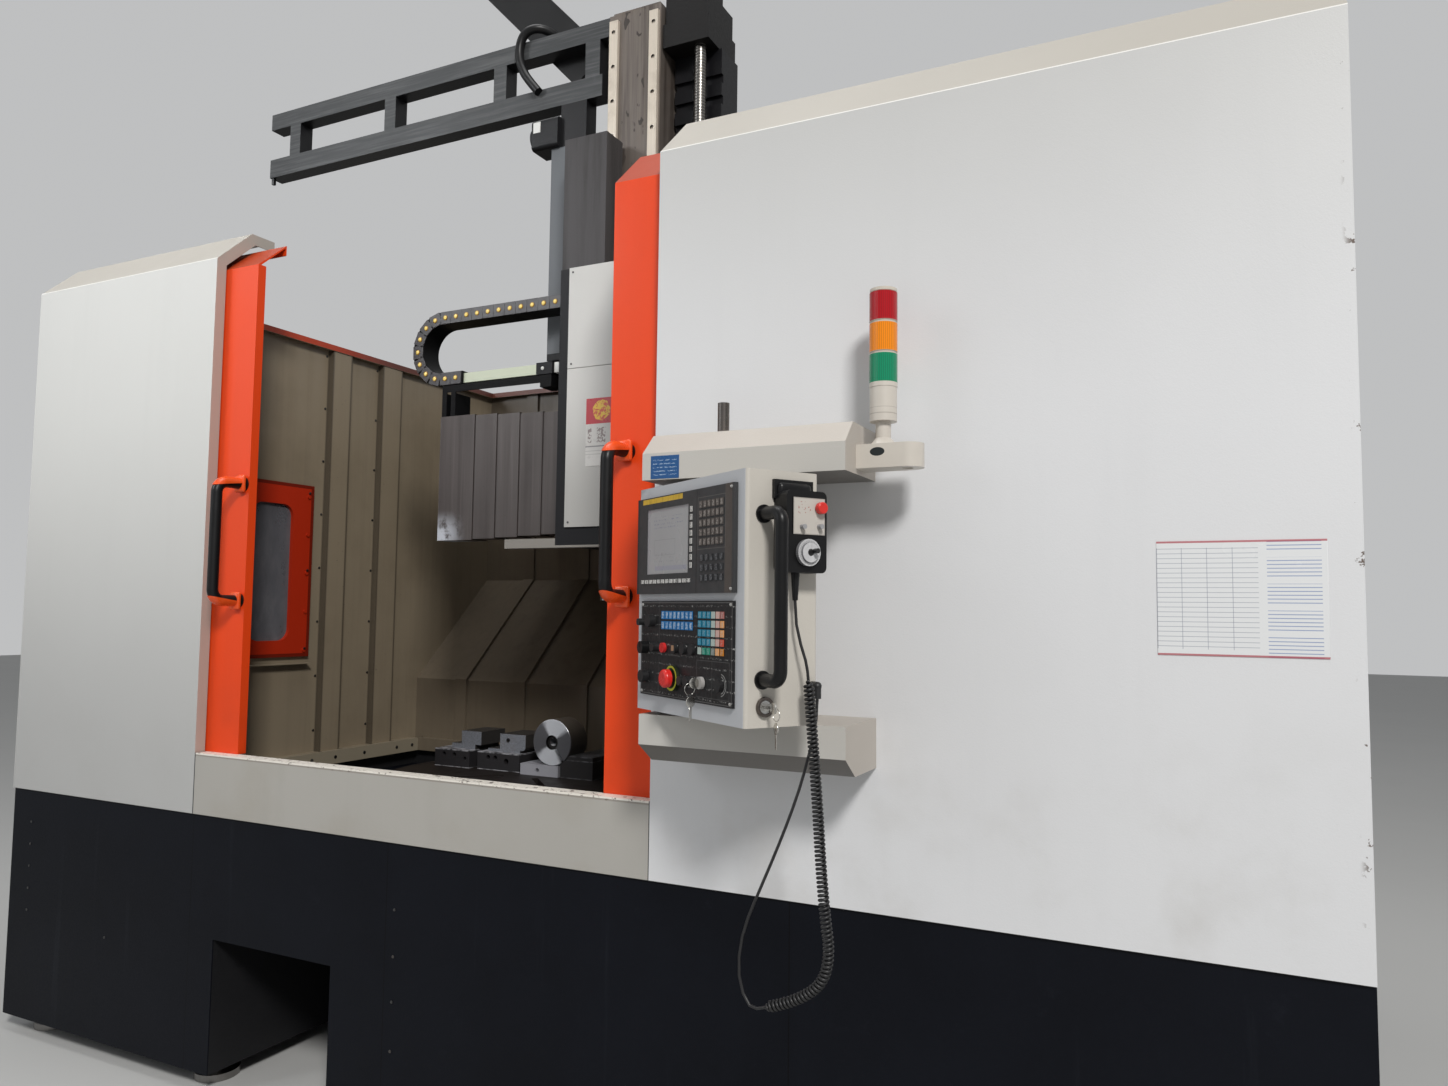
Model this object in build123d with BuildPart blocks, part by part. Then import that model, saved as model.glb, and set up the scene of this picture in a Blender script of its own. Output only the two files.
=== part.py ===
"""Vertical turret lathe with two sliding doors, a swinging control pendant and a tall ram.

Millimetres, +Z up. Drawn with the front sheets at y = 0, the floor at z = 0 and x = 0 midway
between the outer cabinet sides. At the end everything moves along y, so that the origin is on
the floor under the middle of the machine's box.
"""
from build123d import *
import math
import os

os.makedirs("parts", exist_ok=True)

# General fits
turn_fit = 0.05
slide_gap = 0.05
rest_gap = 0.5
sheet = 4

# Base and cabinets
half_width = 2118
foot_height = 60
base_top = 865
base_front = 8
base_back = 1600
left_edge = -1137
right_edge = 572
shelf_z = 1060
left_inner = -1300
right_inner = 741
hood_back = 224
pocket_back = 193
door_front = 40
door_depth = 30
rim = 36
left_roof_y = 131
left_roof_z = 2832
left_hood_z = left_roof_z - 127
left_box_z = left_roof_z - 257
right_roof_y = 142
right_roof_z = 2880
right_hood_z = right_roof_z - 139
sill_back = 45
angle_low = 926
angle_top = 978
angle_leg = 45

# Table and pit
table_x = -281
table_y = 652
table_radius = 500
table_bottom = 880
table_top = 970
pit_radius = table_radius + 30
pit_floor = 480
spindle_radius = 100
housing_radius = 330
channel_x0 = -1024
channel_x1 = -511

# Rear frame
wall_y = 1640
rail_beam_z0 = 1885
rail_beam_z1 = 2265
rail_beam_y = 880
rail_front = 870
rail_beam_x0 = -900
rail_track_x0 = -540
column_y0 = 1650
column_y1 = 2350
column_x0 = -1000
column_x1 = 500
column_foot = 400
column_top = 2540

# Saddle, ram and screws
saddle_x0 = -39
saddle_x1 = 470
saddle_y0 = 425
saddle_z0 = 1743
saddle_z1 = 2641
low_web = 1795
high_web = 2580
ram_x0 = 46
ram_x1 = 246
ram_y0 = 555
ram_y1 = 755
ram_z0 = 1720
ram_z1 = 3547
ram_rail = 12
z_screw_x = 371
z_screw_y = 600
z_screw_radius = 20
cheek_x0 = -187
cheek_y0 = 560
cheek_y1 = 620
cheek_low = 2386
cheek_top = 3133
tower_box_top = 3085
rib_column_x0 = 255
rib_column_x1 = 430
rib_column_y0 = 640
rib_column_y1 = 760
rib_column_top = 3390
screw_top = rib_column_top + 60
x_screw_y = 835
x_screw_z = 2075
x_screw_radius = 25
turret_half = 105
turret_low = 1570
turret_z = 1645
socket_radius = 20
socket_depth = 80
stub_radius = 40
stub_height = 55

# Doors
door_gap = 0.3
door_width = 915
left_door_x = -1900
right_door_x = 409
window_low = 1350
window_high = 2236
window_margin = 169
window_radius = 60
handle_radius = 17
handle_reach = -58

# Ladder frame and duct
ladder_x0 = -1590
ladder_x1 = 42
ladder_low = cheek_top + 150
ladder_low_rail = ladder_low + 75
ladder_high_rail = ladder_low + 200
ladder_top = ladder_low + 265

# Pendant
pivot_x = 823
pivot_y = -115
pendant_turn = -33.2
pin_radius = 14
pendant_x0 = -131
pendant_x1 = 351
pendant_y0 = -152
pendant_y1 = 22
pendant_z0 = 1311
pendant_z1 = 1825
display_front = -162
panel_front = -158
stop_x = 66
stop_z = 1392
stop_stem = 8
feed_x = -68
feed_z = 1455
feed_stem = 4
lock_y = -107
lock_z = 1352
lock_barrel = 9
handset_x1 = 396
wheel_y = -38
wheel_z = 1658
wheel_stem = 5
button_y = -9
button_z = 1748
button_stem = 5

# Cords
cable_radius = 3
coil_radius = 12.5


def block(x0, x1, y0, y1, z0, z1, mode=Mode.ADD):
    with Locations(((x0 + x1) / 2, (y0 + y1) / 2, (z0 + z1) / 2)):
        Box(x1 - x0, y1 - y0, z1 - z0, mode=mode)


def post(x, y, z0, z1, radius, mode=Mode.ADD):
    with Locations((x, y, (z0 + z1) / 2)):
        Cylinder(radius, z1 - z0, mode=mode)


def bar_x(x0, x1, y, z, radius, mode=Mode.ADD):
    with Locations(((x0 + x1) / 2, y, z)):
        Cylinder(radius, x1 - x0, rotation=(0, 90, 0), mode=mode)


def bar_y(x, y0, y1, z, radius, mode=Mode.ADD):
    with Locations((x, (y0 + y1) / 2, z)):
        Cylinder(radius, y1 - y0, rotation=(90, 0, 0), mode=mode)


def prism_x(outline, x0, x1, mode=Mode.ADD):
    with BuildSketch(Plane.YZ.offset(x0), mode=Mode.PRIVATE) as profile:
        with BuildLine():
            Polyline(*outline, close=True)
        make_face()
    extrude(profile.sketch, amount=x1 - x0, mode=mode)


def prism_y(outline, y0, y1, mode=Mode.ADD):
    with BuildSketch(Plane.XZ.offset(-y0), mode=Mode.PRIVATE) as profile:
        with BuildLine():
            Polyline(*outline, close=True)
        make_face()
    extrude(profile.sketch, amount=-(y1 - y0), mode=mode)


def key_field(x0, x1, z0, z1, columns, rows, share, y, rise):
    pitch_x = (x1 - x0) / columns
    pitch_z = (z1 - z0) / rows
    with Locations(((x0 + x1) / 2, y - rise / 2, (z0 + z1) / 2)):
        with GridLocations(pitch_x, 0, columns, 1):
            for row in range(rows):
                with Locations((0, 0, (row - (rows - 1) / 2) * pitch_z)):
                    Box(pitch_x * share, rise, pitch_z * share)


def tube(points, radii, radius):
    with BuildLine(mode=Mode.PRIVATE) as route:
        FilletPolyline(*points, radius=radii)
    with BuildSketch(Plane(origin=route.line @ 0, z_dir=route.line % 0), mode=Mode.PRIVATE) as section:
        Circle(radius)
    sweep(section.sketch, path=route.line)


def bend_radii(points):
    radii = []
    for before, corner, after in zip(points, points[1:], points[2:]):
        run_in = Vector(*corner) - Vector(*before)
        run_out = Vector(*after) - Vector(*corner)
        half_turn = math.radians(run_in.get_angle(run_out)) / 2
        radii.append(0.45 * min(run_in.length, run_out.length) / math.tan(half_turn))
    return radii


def hood_outline(front_z, roof_y, roof_z, back_y, bottom_z, inset):
    slope = (roof_z - front_z) / roof_y
    drop = inset * math.sqrt(1 + slope ** 2)
    return [
        (inset, bottom_z),
        (inset, front_z + slope * inset - drop),
        ((roof_z - inset - front_z + drop) / slope, roof_z - inset),
        (back_y, roof_z - inset),
        (back_y, bottom_z),
    ]


# Levelling feet: a pad and a stud each, on the casting's own bosses
foot_x = half_width - 118
foot_front = base_front + 122
foot_back = base_back - 120
column_foot_y = column_y1 - 110
channel_foot_x = channel_x0 - 106
middle_foot_x = right_edge - 222
foot_places = [
    (-foot_x, foot_front), (channel_foot_x, foot_front), (middle_foot_x, foot_front), (foot_x, foot_front),
    (-foot_x, foot_back), (channel_foot_x, foot_back), (middle_foot_x, foot_back), (foot_x, foot_back),
    (column_x0 + 100, column_foot_y), (column_x1 - 100, column_foot_y),
]
with BuildPart() as levelling_feet:
    for pad_x, pad_y in foot_places:
        post(pad_x, pad_y, 0, 22, 70)
        post(pad_x, pad_y, 22, foot_height, 20)

# Base casting: ribbed block with the chip channel, the pit and the spindle housing
casting_side = half_width - sheet
casting_front = base_front + sheet
casting_back = base_back - sheet
casting_wall = 40
pocket_top = 800
pit_wall = 110


def pocket_field(x0, x1, columns):
    width = (x1 - x0 - (columns - 1) * casting_wall) / columns
    depth = (casting_back - casting_front - 4 * casting_wall) / 3
    middle = ((x0 + x1) / 2, (casting_front + casting_back) / 2, (foot_height + pocket_top) / 2)
    with Locations(middle):
        with GridLocations(width + casting_wall, depth + casting_wall, columns, 3):
            Box(width, depth, pocket_top - foot_height + 1, mode=Mode.SUBTRACT)


with BuildPart() as base_casting:
    block(-casting_side, casting_side, casting_front, casting_back, foot_height, base_top - sheet)
    block(column_x0, column_x1, casting_back, column_y1, foot_height, column_foot)
    pocket_field(-casting_side + casting_wall, channel_x0 - casting_wall, 2)
    pocket_field(table_x + pit_radius + pit_wall, casting_side - casting_wall, 4)
    block(column_x0 + 60, column_x1 - 60, column_y0, column_y1 - 60, foot_height, 340, Mode.SUBTRACT)
    block(channel_x0, channel_x1, 0, 1300, foot_height, pit_floor, Mode.SUBTRACT)
    post(table_x, table_y, pit_floor, base_top, pit_radius, Mode.SUBTRACT)
    post(table_x, table_y, foot_height, table_bottom - rest_gap, housing_radius)
    post(table_x, table_y, 690, table_bottom, spindle_radius + turn_fit, Mode.SUBTRACT)
    for pad_x, pad_y in foot_places:
        block(pad_x - 90, pad_x + 90, pad_y - 90, pad_y + 90, foot_height, foot_height + 140)

# Base skirt: dark sheets around the base and the deck plate with the pit hole
with BuildPart() as base_skirt:
    block(-half_width, half_width, base_front, base_back, foot_height, base_top)
    block(-casting_side, casting_side, casting_front, base_back + 1, 0, base_top - sheet, Mode.SUBTRACT)
    block(channel_x0, channel_x1, 0, 40, 0, pit_floor, Mode.SUBTRACT)
    post(table_x, table_y, base_top - 20, base_top + 1, pit_radius, Mode.SUBTRACT)

# Rear column, hollow and open below
with BuildPart() as column:
    block(column_x0, column_x1, column_y0, column_y1, column_foot, column_top)
    block(column_x0 + 60, column_x1 - 60, column_y0 + 60, column_y1 - 60, 0, column_top - 60, Mode.SUBTRACT)

# Crossrail: hollow beam with two guide rails and the bearings of the horizontal screw
with BuildPart() as crossrail:
    block(rail_beam_x0, right_inner, rail_beam_y, column_y0, rail_beam_z0, rail_beam_z1)
    block(
        rail_beam_x0 - 1, right_inner + 1, rail_beam_y + 60, column_y0 - 60,
        rail_beam_z0 + 60, rail_beam_z1 - 60, Mode.SUBTRACT,
    )
    block(rail_track_x0, right_inner, rail_front, rail_beam_y, rail_beam_z0 + 30, rail_beam_z0 + 65)
    block(rail_track_x0, right_inner, rail_front, rail_beam_y, rail_beam_z1 - 65, rail_beam_z1 - 30)
    for bearing_x0, bearing_x1 in ((rail_track_x0 - 80, rail_track_x0 - 20), (right_inner - 86, right_inner)):
        block(bearing_x0, bearing_x1, x_screw_y - 40, rail_beam_y, x_screw_z - 45, x_screw_z + 45)
    bar_x(
        rail_track_x0 - 81, right_inner + 1, x_screw_y, x_screw_z,
        x_screw_radius + turn_fit, Mode.SUBTRACT,
    )

# Left cabinet: door pocket in front, lower box behind
with BuildPart() as left_cabinet:
    prism_x(
        hood_outline(left_hood_z, left_roof_y, left_roof_z, hood_back, base_top, 0),
        -half_width, left_edge,
    )
    block(-half_width, left_inner - sheet, pocket_back, base_back, base_top, left_box_z)
    prism_x(
        hood_outline(left_hood_z, left_roof_y, left_roof_z, pocket_back, shelf_z, sheet),
        -casting_side, left_inner - sheet, Mode.SUBTRACT,
    )
    block(
        -casting_side, left_inner - sheet, pocket_back - 1, hood_back - sheet,
        left_box_z + sheet, left_roof_z - sheet, Mode.SUBTRACT,
    )
    prism_x(
        hood_outline(left_hood_z, left_roof_y, left_roof_z, hood_back + 1, shelf_z, sheet),
        left_inner - sheet, left_edge - sheet, Mode.SUBTRACT,
    )
    prism_x(
        hood_outline(left_hood_z, left_roof_y, left_roof_z, hood_back + 1, shelf_z, rim),
        left_edge - sheet, left_edge + 1, Mode.SUBTRACT,
    )
    block(
        left_inner - sheet, left_edge + 1, pocket_back, hood_back + 1,
        base_top - 1, shelf_z + 1, Mode.SUBTRACT,
    )
    block(
        -casting_side, left_edge - sheet, sheet, pocket_back,
        base_top + sheet, shelf_z - sheet, Mode.SUBTRACT,
    )
    block(
        -casting_side, left_inner - sheet + 1, pocket_back + sheet, base_back - sheet,
        base_top + sheet, left_box_z - sheet, Mode.SUBTRACT,
    )

# Right cabinet: the door pocket runs into the deep box
with BuildPart() as right_cabinet:
    prism_x(
        hood_outline(right_hood_z, right_roof_y, right_roof_z, hood_back, base_top, 0),
        right_edge, half_width,
    )
    prism_x(
        hood_outline(right_hood_z, right_roof_y, right_roof_z, base_back, base_top, 0),
        right_inner, half_width,
    )
    prism_x(
        hood_outline(right_hood_z, right_roof_y, right_roof_z, base_back - sheet, shelf_z, sheet),
        right_inner + sheet, casting_side, Mode.SUBTRACT,
    )
    prism_x(
        hood_outline(right_hood_z, right_roof_y, right_roof_z, pocket_back, shelf_z, sheet),
        right_inner, right_inner + sheet, Mode.SUBTRACT,
    )
    prism_x(
        hood_outline(right_hood_z, right_roof_y, right_roof_z, hood_back + 1, shelf_z, sheet),
        right_edge + sheet, right_inner, Mode.SUBTRACT,
    )
    prism_x(
        hood_outline(right_hood_z, right_roof_y, right_roof_z, hood_back + 1, shelf_z, rim),
        right_edge - 1, right_edge + sheet, Mode.SUBTRACT,
    )
    block(
        right_inner + sheet, casting_side, sheet, base_back - sheet,
        base_top + sheet, shelf_z - sheet, Mode.SUBTRACT,
    )
    block(
        right_edge + sheet, right_inner, sheet, hood_back - sheet,
        base_top + sheet, shelf_z - sheet, Mode.SUBTRACT,
    )

# Sill panel under the doors, open below
with BuildPart() as sill_panel:
    block(left_edge, right_edge, 0, sill_back, base_top, shelf_z)
    block(
        left_edge + sheet, right_edge - sheet, sheet, sill_back - sheet,
        0, shelf_z - sheet, Mode.SUBTRACT,
    )

# Inner left wall with hat ribs, ledge, flange and a hole for the lamp window
glass_y0 = 300
glass_y1 = 482
glass_z0 = 1410
glass_z1 = 1922
frame_y0 = 215
frame_y1 = 576
frame_z0 = 1348
frame_z1 = 2004
strip_height = 22
wall_knee_y = table_y + table_radius + 35
wall_knee_z = 1232
wall_shelf_z = 1672
rib_rise = 12
back_angle_leg = 30
angle_back = wall_knee_y - back_angle_leg - 1
with BuildPart() as inner_left_wall:
    block(left_inner - sheet, left_inner, pocket_back, wall_y, base_top, left_box_z)
    for rib_y0, rib_y1 in ((638, 734), (905, 1015)):
        block(left_inner, left_inner + 24, rib_y0, rib_y1, angle_top, left_box_z - strip_height)
    block(left_inner, left_inner + angle_leg, pocket_back, angle_back, angle_top - sheet, angle_top)
    block(
        left_inner + angle_leg - sheet, left_inner + angle_leg,
        pocket_back, angle_back, angle_low, angle_top,
    )
    block(left_inner, left_inner + 30, frame_y0, frame_y1, frame_z0 - 28, frame_z0 - 24)
    block(left_inner, left_inner + 28, pocket_back, wall_y, left_box_z - strip_height, left_box_z)
    block(
        left_inner - sheet - 1, left_inner + 1, glass_y0, glass_y1,
        glass_z0, glass_z1, Mode.SUBTRACT,
    )

# Lamp window: bolted frame and pane
with BuildPart() as window_frame:
    block(left_inner, left_inner + 14, frame_y0, frame_y1, frame_z0, frame_z1)
    with BuildSketch(Plane.YZ.offset(left_inner - 1), mode=Mode.PRIVATE) as frame_hole:
        with Locations(((glass_y0 + glass_y1) / 2, (glass_z0 + glass_z1) / 2)):
            RectangleRounded(glass_y1 - glass_y0, glass_z1 - glass_z0, 45)
    extrude(frame_hole.sketch, amount=16, mode=Mode.SUBTRACT)
    bolt_pitch = (frame_z1 - frame_z0 - 68) / 4
    for bolt in range(5):
        for bolt_y in (frame_y0 + 25, frame_y1 - 25):
            bar_x(left_inner + 13, left_inner + 19, bolt_y, frame_z0 + 24 + bolt * bolt_pitch, 7)

with BuildPart() as window_glass:
    block(left_inner - sheet, left_inner, glass_y0, glass_y1, glass_z0, glass_z1)

# Back wall: upright, sloped and upright again behind the rail beam, with hat ribs, a bottom
# angle and a top strip
with BuildPart() as back_wall:
    prism_x(
        [
            (wall_knee_y, base_top), (wall_knee_y, wall_knee_z), (wall_y, wall_shelf_z),
            (wall_y, rail_beam_z0), (column_y0, rail_beam_z0), (column_y0, wall_shelf_z - 4),
            (wall_knee_y + 10, wall_knee_z - 4), (wall_knee_y + 10, base_top),
        ],
        left_inner, right_inner,
    )
    for rib_x in (-1046, -740, -434, -128, 178, 484):
        prism_x(
            [
                (wall_knee_y - rib_rise, base_top), (wall_knee_y - rib_rise, wall_knee_z + 5),
                (wall_y - rib_rise, wall_shelf_z + 5), (wall_y - rib_rise, rail_beam_z0),
                (wall_y, rail_beam_z0), (wall_y, wall_shelf_z),
                (wall_knee_y, wall_knee_z), (wall_knee_y, base_top),
            ],
            rib_x - 29, rib_x + 29,
        )
        block(
            rib_x - 29, rib_x + 29, wall_y - rib_rise, wall_y,
            rail_beam_z0 - 1, left_box_z - strip_height,
        )
    block(left_inner, right_inner, wall_y, wall_y + sheet, rail_beam_z0 - 1, left_box_z)
    block(
        left_inner + 28, right_inner, wall_y - 28, wall_y,
        left_box_z - strip_height, left_box_z,
    )
    block(
        left_inner + angle_leg, right_inner, wall_knee_y - back_angle_leg, wall_knee_y,
        angle_top - sheet, angle_top,
    )
    block(
        left_inner + angle_leg, right_inner,
        wall_knee_y - back_angle_leg, wall_knee_y - back_angle_leg + sheet,
        angle_low, angle_top,
    )
    block(
        rail_beam_x0, right_inner + 1, wall_y - 29, wall_y + sheet + 1,
        rail_beam_z0, rail_beam_z1, Mode.SUBTRACT,
    )

# Arms that carry the pendant: folded boxes, open towards the cabinet
with BuildPart() as upper_arm:
    prism_x([(0, 1843), (-210, 1843), (-210, 1906), (-160, 1956), (0, 1956)], 659, 1160)
    prism_x([(0, 1847), (-206, 1847), (-206, 1904), (-158, 1952), (0, 1952)], 663, 1156, Mode.SUBTRACT)
    post(pivot_x, pivot_y, 1843, 1956, 26)
    post(pivot_x, pivot_y, 1800, 2000, pin_radius, Mode.SUBTRACT)

with BuildPart() as lower_arm:
    prism_x([(0, 1301), (-210, 1301), (-210, 1232), (-148, 1189), (0, 1189)], 661, 1163)
    prism_x([(0, 1297), (-206, 1297), (-206, 1234), (-147, 1193), (0, 1193)], 665, 1159, Mode.SUBTRACT)
    post(pivot_x, pivot_y, 1200, 1301, 26)
    post(pivot_x, pivot_y, 1241, 1400, pin_radius, Mode.SUBTRACT)

# Pivot pin, pressed into both arms, with a thrust collar under the pendant
with BuildPart() as pivot_pin:
    post(pivot_x, pivot_y, 1241, 2031, pin_radius)
    post(pivot_x, pivot_y, 1301, pendant_z0 - 0.1, 30)

# Signal tower: bracket, neck and foot in one, then the three lamps
tower_x = 1211
tower_y = -105
with BuildPart() as tower_stand:
    block(1160, 1267, -140, -70, 1855, 1908)
    post(1267, tower_y, 1855, 1908, 35)
    post(1267, tower_y, 1850, 1910, 12, Mode.SUBTRACT)
    with Locations((tower_x, tower_y, 1916)):
        Cone(30, 17, 16)
    post(tower_x, tower_y, 1920, 1960, 17)
    post(tower_x, tower_y, 1960, 2036, 30)
    post(tower_x, tower_y, 2036, 2046, 31)

with BuildPart() as tower_lenses:
    post(tower_x, tower_y, 2046, 2250, 29)
    for lamp_z0, lamp_z1 in ((2046, 2110), (2115, 2179), (2184, 2248)):
        post(tower_x, tower_y, lamp_z0, lamp_z1, 31)
    post(tower_x, tower_y, 2250, 2257, 30)

# Tray under the cable chain: two posts on the fixed cover and an angle
with BuildPart() as chain_tray:
    block(-556, -536, 462, 540, 2202, 2288)
    block(-517, -497, 462, 540, 2202, 2288)
    block(-556, -95, 462, 540, 2288, 2312)
    block(-556, -95, 466, 541, 2283, 2308, Mode.SUBTRACT)
    block(-140, -95, 462, 532, 2272, 2309)

# Way covers: nested folded plates, each behind its left neighbour
cover_x0 = -558
cover_width = 150
cover_pitch = (saddle_x0 - cover_width - cover_x0) / 4
cover_sheet = 3
cover_step = cover_sheet + 0.3
cover_depth = 80
way_covers = []
for index in range(5):
    x0 = cover_x0 + index * cover_pitch
    y0 = 460 + index * cover_step
    low = 1771 + index * cover_step
    high = 2202 - index * cover_step
    with BuildPart() as way_cover:
        block(x0, x0 + cover_width, y0, y0 + cover_depth, low, high)
        block(
            x0 - 1, x0 + cover_width + 1, y0 + cover_sheet, y0 + cover_depth + 1,
            low + cover_sheet, high - cover_sheet, Mode.SUBTRACT,
        )
        if index == 0:
            block(x0, x0 + 12, y0 + cover_depth - 10, 580, high - cover_sheet, high)
            block(x0, x0 + 12, 575, rail_beam_y, 2130, high)
    way_covers.append(way_cover.part)

# Cable chain: upper run, loop and lower run
chain_z = 2445
chain_out = 131
chain_in = 86
loop_x = -563
chain_low_x = -470
with BuildPart() as energy_chain:
    bar_y(loop_x, 462, 540, chain_z, chain_out)
    bar_y(loop_x, 461, 541, chain_z, chain_in, Mode.SUBTRACT)
    block(loop_x, -400, 461, 541, chain_z - chain_out - 1, chain_z + chain_out + 1, Mode.SUBTRACT)
    block(loop_x, 60, 462, 540, chain_z + chain_in, chain_z + chain_out)
    block(loop_x, chain_low_x, 462, 540, chain_z - chain_out + 0.5, chain_z - chain_in)
    for joint in range(13):
        joint_x = loop_x + 22 + joint * 45
        block(joint_x, joint_x + 3, 460, 466, chain_z + chain_in - 1, chain_z + chain_out + 1, Mode.SUBTRACT)

# Horizontal ball screw behind the covers
with BuildPart() as x_ball_screw:
    bar_x(-620, 715, x_screw_y, x_screw_z, x_screw_radius)

# Saddle: housing with a guide web below and above, cheek plate, ribbed column, front cover box
ram_open_y0 = ram_y0 - ram_rail - slide_gap
with BuildPart() as saddle:
    block(saddle_x0, saddle_x1, saddle_y0, rail_front - slide_gap, saddle_z0, saddle_z1)
    block(saddle_x0 + 30, saddle_x1 - 30, saddle_y0 + 30, 790, low_web, high_web, Mode.SUBTRACT)
    block(
        ram_x0 - slide_gap, ram_x1 + slide_gap, ram_open_y0, ram_y1 + slide_gap,
        saddle_z0 - 1, saddle_z1 + 1, Mode.SUBTRACT,
    )
    post(z_screw_x, z_screw_y, high_web - 10, saddle_z1 + 1, 30, Mode.SUBTRACT)
    post(z_screw_x, z_screw_y, saddle_z0 - 1, low_web + 10, z_screw_radius + turn_fit, Mode.SUBTRACT)
    block(saddle_x0 - 1, saddle_x0 + 31, 456, 543, 2268, chain_z + chain_out + 3, Mode.SUBTRACT)
    bar_x(saddle_x0 - 1, saddle_x1 + 1, x_screw_y, x_screw_z, x_screw_radius + turn_fit, Mode.SUBTRACT)
    block(cheek_x0, saddle_x0, cheek_y0, cheek_y1, cheek_low, cheek_top)
    block(-160, -96, 466, cheek_y0, 2316, 2356)
    block(-110, -60, cheek_y0 - 19, cheek_y0, 2316, cheek_low + 14)
    block(0, 60, 470, 536, chain_z + chain_out, high_web)
    block(rib_column_x0, rib_column_x1, rib_column_y0, rib_column_y1, saddle_z1, rib_column_top)
    groove_pitch = (rib_column_top - saddle_z1) / 10.4
    for groove in range(9):
        groove_z = saddle_z1 + groove_pitch * (groove + 0.8)
        block(
            rib_column_x0 - 1, rib_column_x1 + 1, rib_column_y0 - 1, rib_column_y0 + 12,
            groove_z, groove_z + 30, Mode.SUBTRACT,
        )
    block(saddle_x0 - 6, 118, 440, ram_open_y0 - 8, saddle_z1, tower_box_top)

# Light front covers of the saddle, the wiper plate and the strip that holds the chain's end
with BuildPart() as saddle_cover:
    block(0, 430, 417, saddle_y0, low_web + 5, 2309)
    block(0, 430, 417, saddle_y0, 2311, saddle_z1 - 1)
    block(-240, saddle_x0, saddle_y0, saddle_y0 + 40, saddle_z0 - 7, saddle_z0 + 23)
    block(saddle_x0, 430, saddle_y0, saddle_y0 + 40, saddle_z0 - 7, saddle_z0)
    block(chain_low_x, -160, 470, 536, 2318, 2352)

# Screw bearing and drive above the ram
with BuildPart() as screw_block:
    block(
        rib_column_x0 - 4, rib_column_x1 - 10, z_screw_y - 40, rib_column_y1,
        rib_column_top, rib_column_top + 80,
    )
    block(
        rib_column_x0 + 3, rib_column_x1 - 18, z_screw_y - 34, rib_column_y1 - 6,
        rib_column_top + 80, rib_column_top + 170,
    )
    post(z_screw_x, z_screw_y, rib_column_top - 10, screw_top, z_screw_radius + turn_fit, Mode.SUBTRACT)
    block(
        z_screw_x - 85, z_screw_x + 35, z_screw_y - 30, z_screw_y + 90,
        rib_column_top + 170, rib_column_top + 330,
    )
    post(z_screw_x - 25, z_screw_y + 30, rib_column_top + 330, rib_column_top + 390, 50)

# Ladder frame and its post
motor_x1 = cheek_x0 + 37
with BuildPart() as ladder_frame:
    block(ladder_x0, ladder_x1, cheek_y0, cheek_y1, ladder_high_rail, ladder_top)
    block(ladder_x0, ladder_x1 - 26, cheek_y0, cheek_y1, ladder_low, ladder_low_rail)
    for upright_x0, upright_x1 in (
        (ladder_x0 + 109, ladder_x0 + 166), (ladder_x0 + 618, ladder_x0 + 673),
        (ladder_x0 + 1142, ladder_x0 + 1198), (ladder_x1 - 96, ladder_x1 - 37),
    ):
        block(upright_x0, upright_x1, cheek_y0, cheek_y1, ladder_low_rail, ladder_high_rail)
    block(ladder_x0 + 6, ladder_x0 + 18, cheek_y0 + 4, cheek_y0 + 16, ladder_low - 26, ladder_low)
    block(motor_x1, motor_x1 + 105, cheek_y0, cheek_y1, cheek_top, ladder_low)

# Diagonal cable duct behind the frame
duct_half = 78
duct_x = -77
duct_z = ladder_low + 147
duct_run_x = -429
duct_run_z = 450
duct_length = math.hypot(duct_run_x, duct_run_z)
side_x = duct_half * duct_run_z / duct_length
side_z = -duct_half * duct_run_x / duct_length
with BuildPart() as cable_duct:
    prism_y(
        [
            (duct_x + side_x, duct_z + side_z),
            (duct_x + duct_run_x + side_x, duct_z + duct_run_z + side_z),
            (duct_x + duct_run_x - side_x, duct_z + duct_run_z - side_z),
            (duct_x - side_x, duct_z - side_z),
        ],
        cheek_y1, cheek_y1 + 60,
    )

# Drive motor beside the post
motor_x0 = motor_x1 - 109
motor_y = (cheek_y0 + cheek_y1) / 2
with BuildPart() as drive_motor:
    block(motor_x0, motor_x1, motor_y - 50, motor_y + 50, cheek_top, cheek_top + 107)
    fillet(drive_motor.edges().filter_by(Axis.X), 14)
    bar_x(motor_x0 - 12, motor_x0, motor_y, cheek_top + 53, 44)

# Vertical ball screw
with BuildPart() as z_ball_screw:
    post(z_screw_x, z_screw_y, saddle_z0 + 7, screw_top, z_screw_radius)

# Ram with nut lug and end cap
turret_x = (ram_x0 + ram_x1) / 2
turret_y = (ram_y0 + ram_y1) / 2
nut_low = 2160
with BuildPart() as ram:
    block(ram_x0, ram_x1, ram_y0, ram_y1, ram_z0, ram_z1)
    post(
        turret_x, turret_y, ram_z0 - 1, ram_z0 + stub_height + 1,
        stub_radius + turn_fit, Mode.SUBTRACT,
    )
    block(ram_x1, z_screw_x + 40, z_screw_y - 40, z_screw_y + 40, nut_low, nut_low + 120)
    post(
        z_screw_x, z_screw_y, nut_low - 10, nut_low + 130,
        z_screw_radius + turn_fit, Mode.SUBTRACT,
    )
    block(ram_x0 + 10, ram_x1 - 10, ram_y0 + 10, ram_y1 - 10, ram_z1, ram_z1 + 12)

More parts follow.
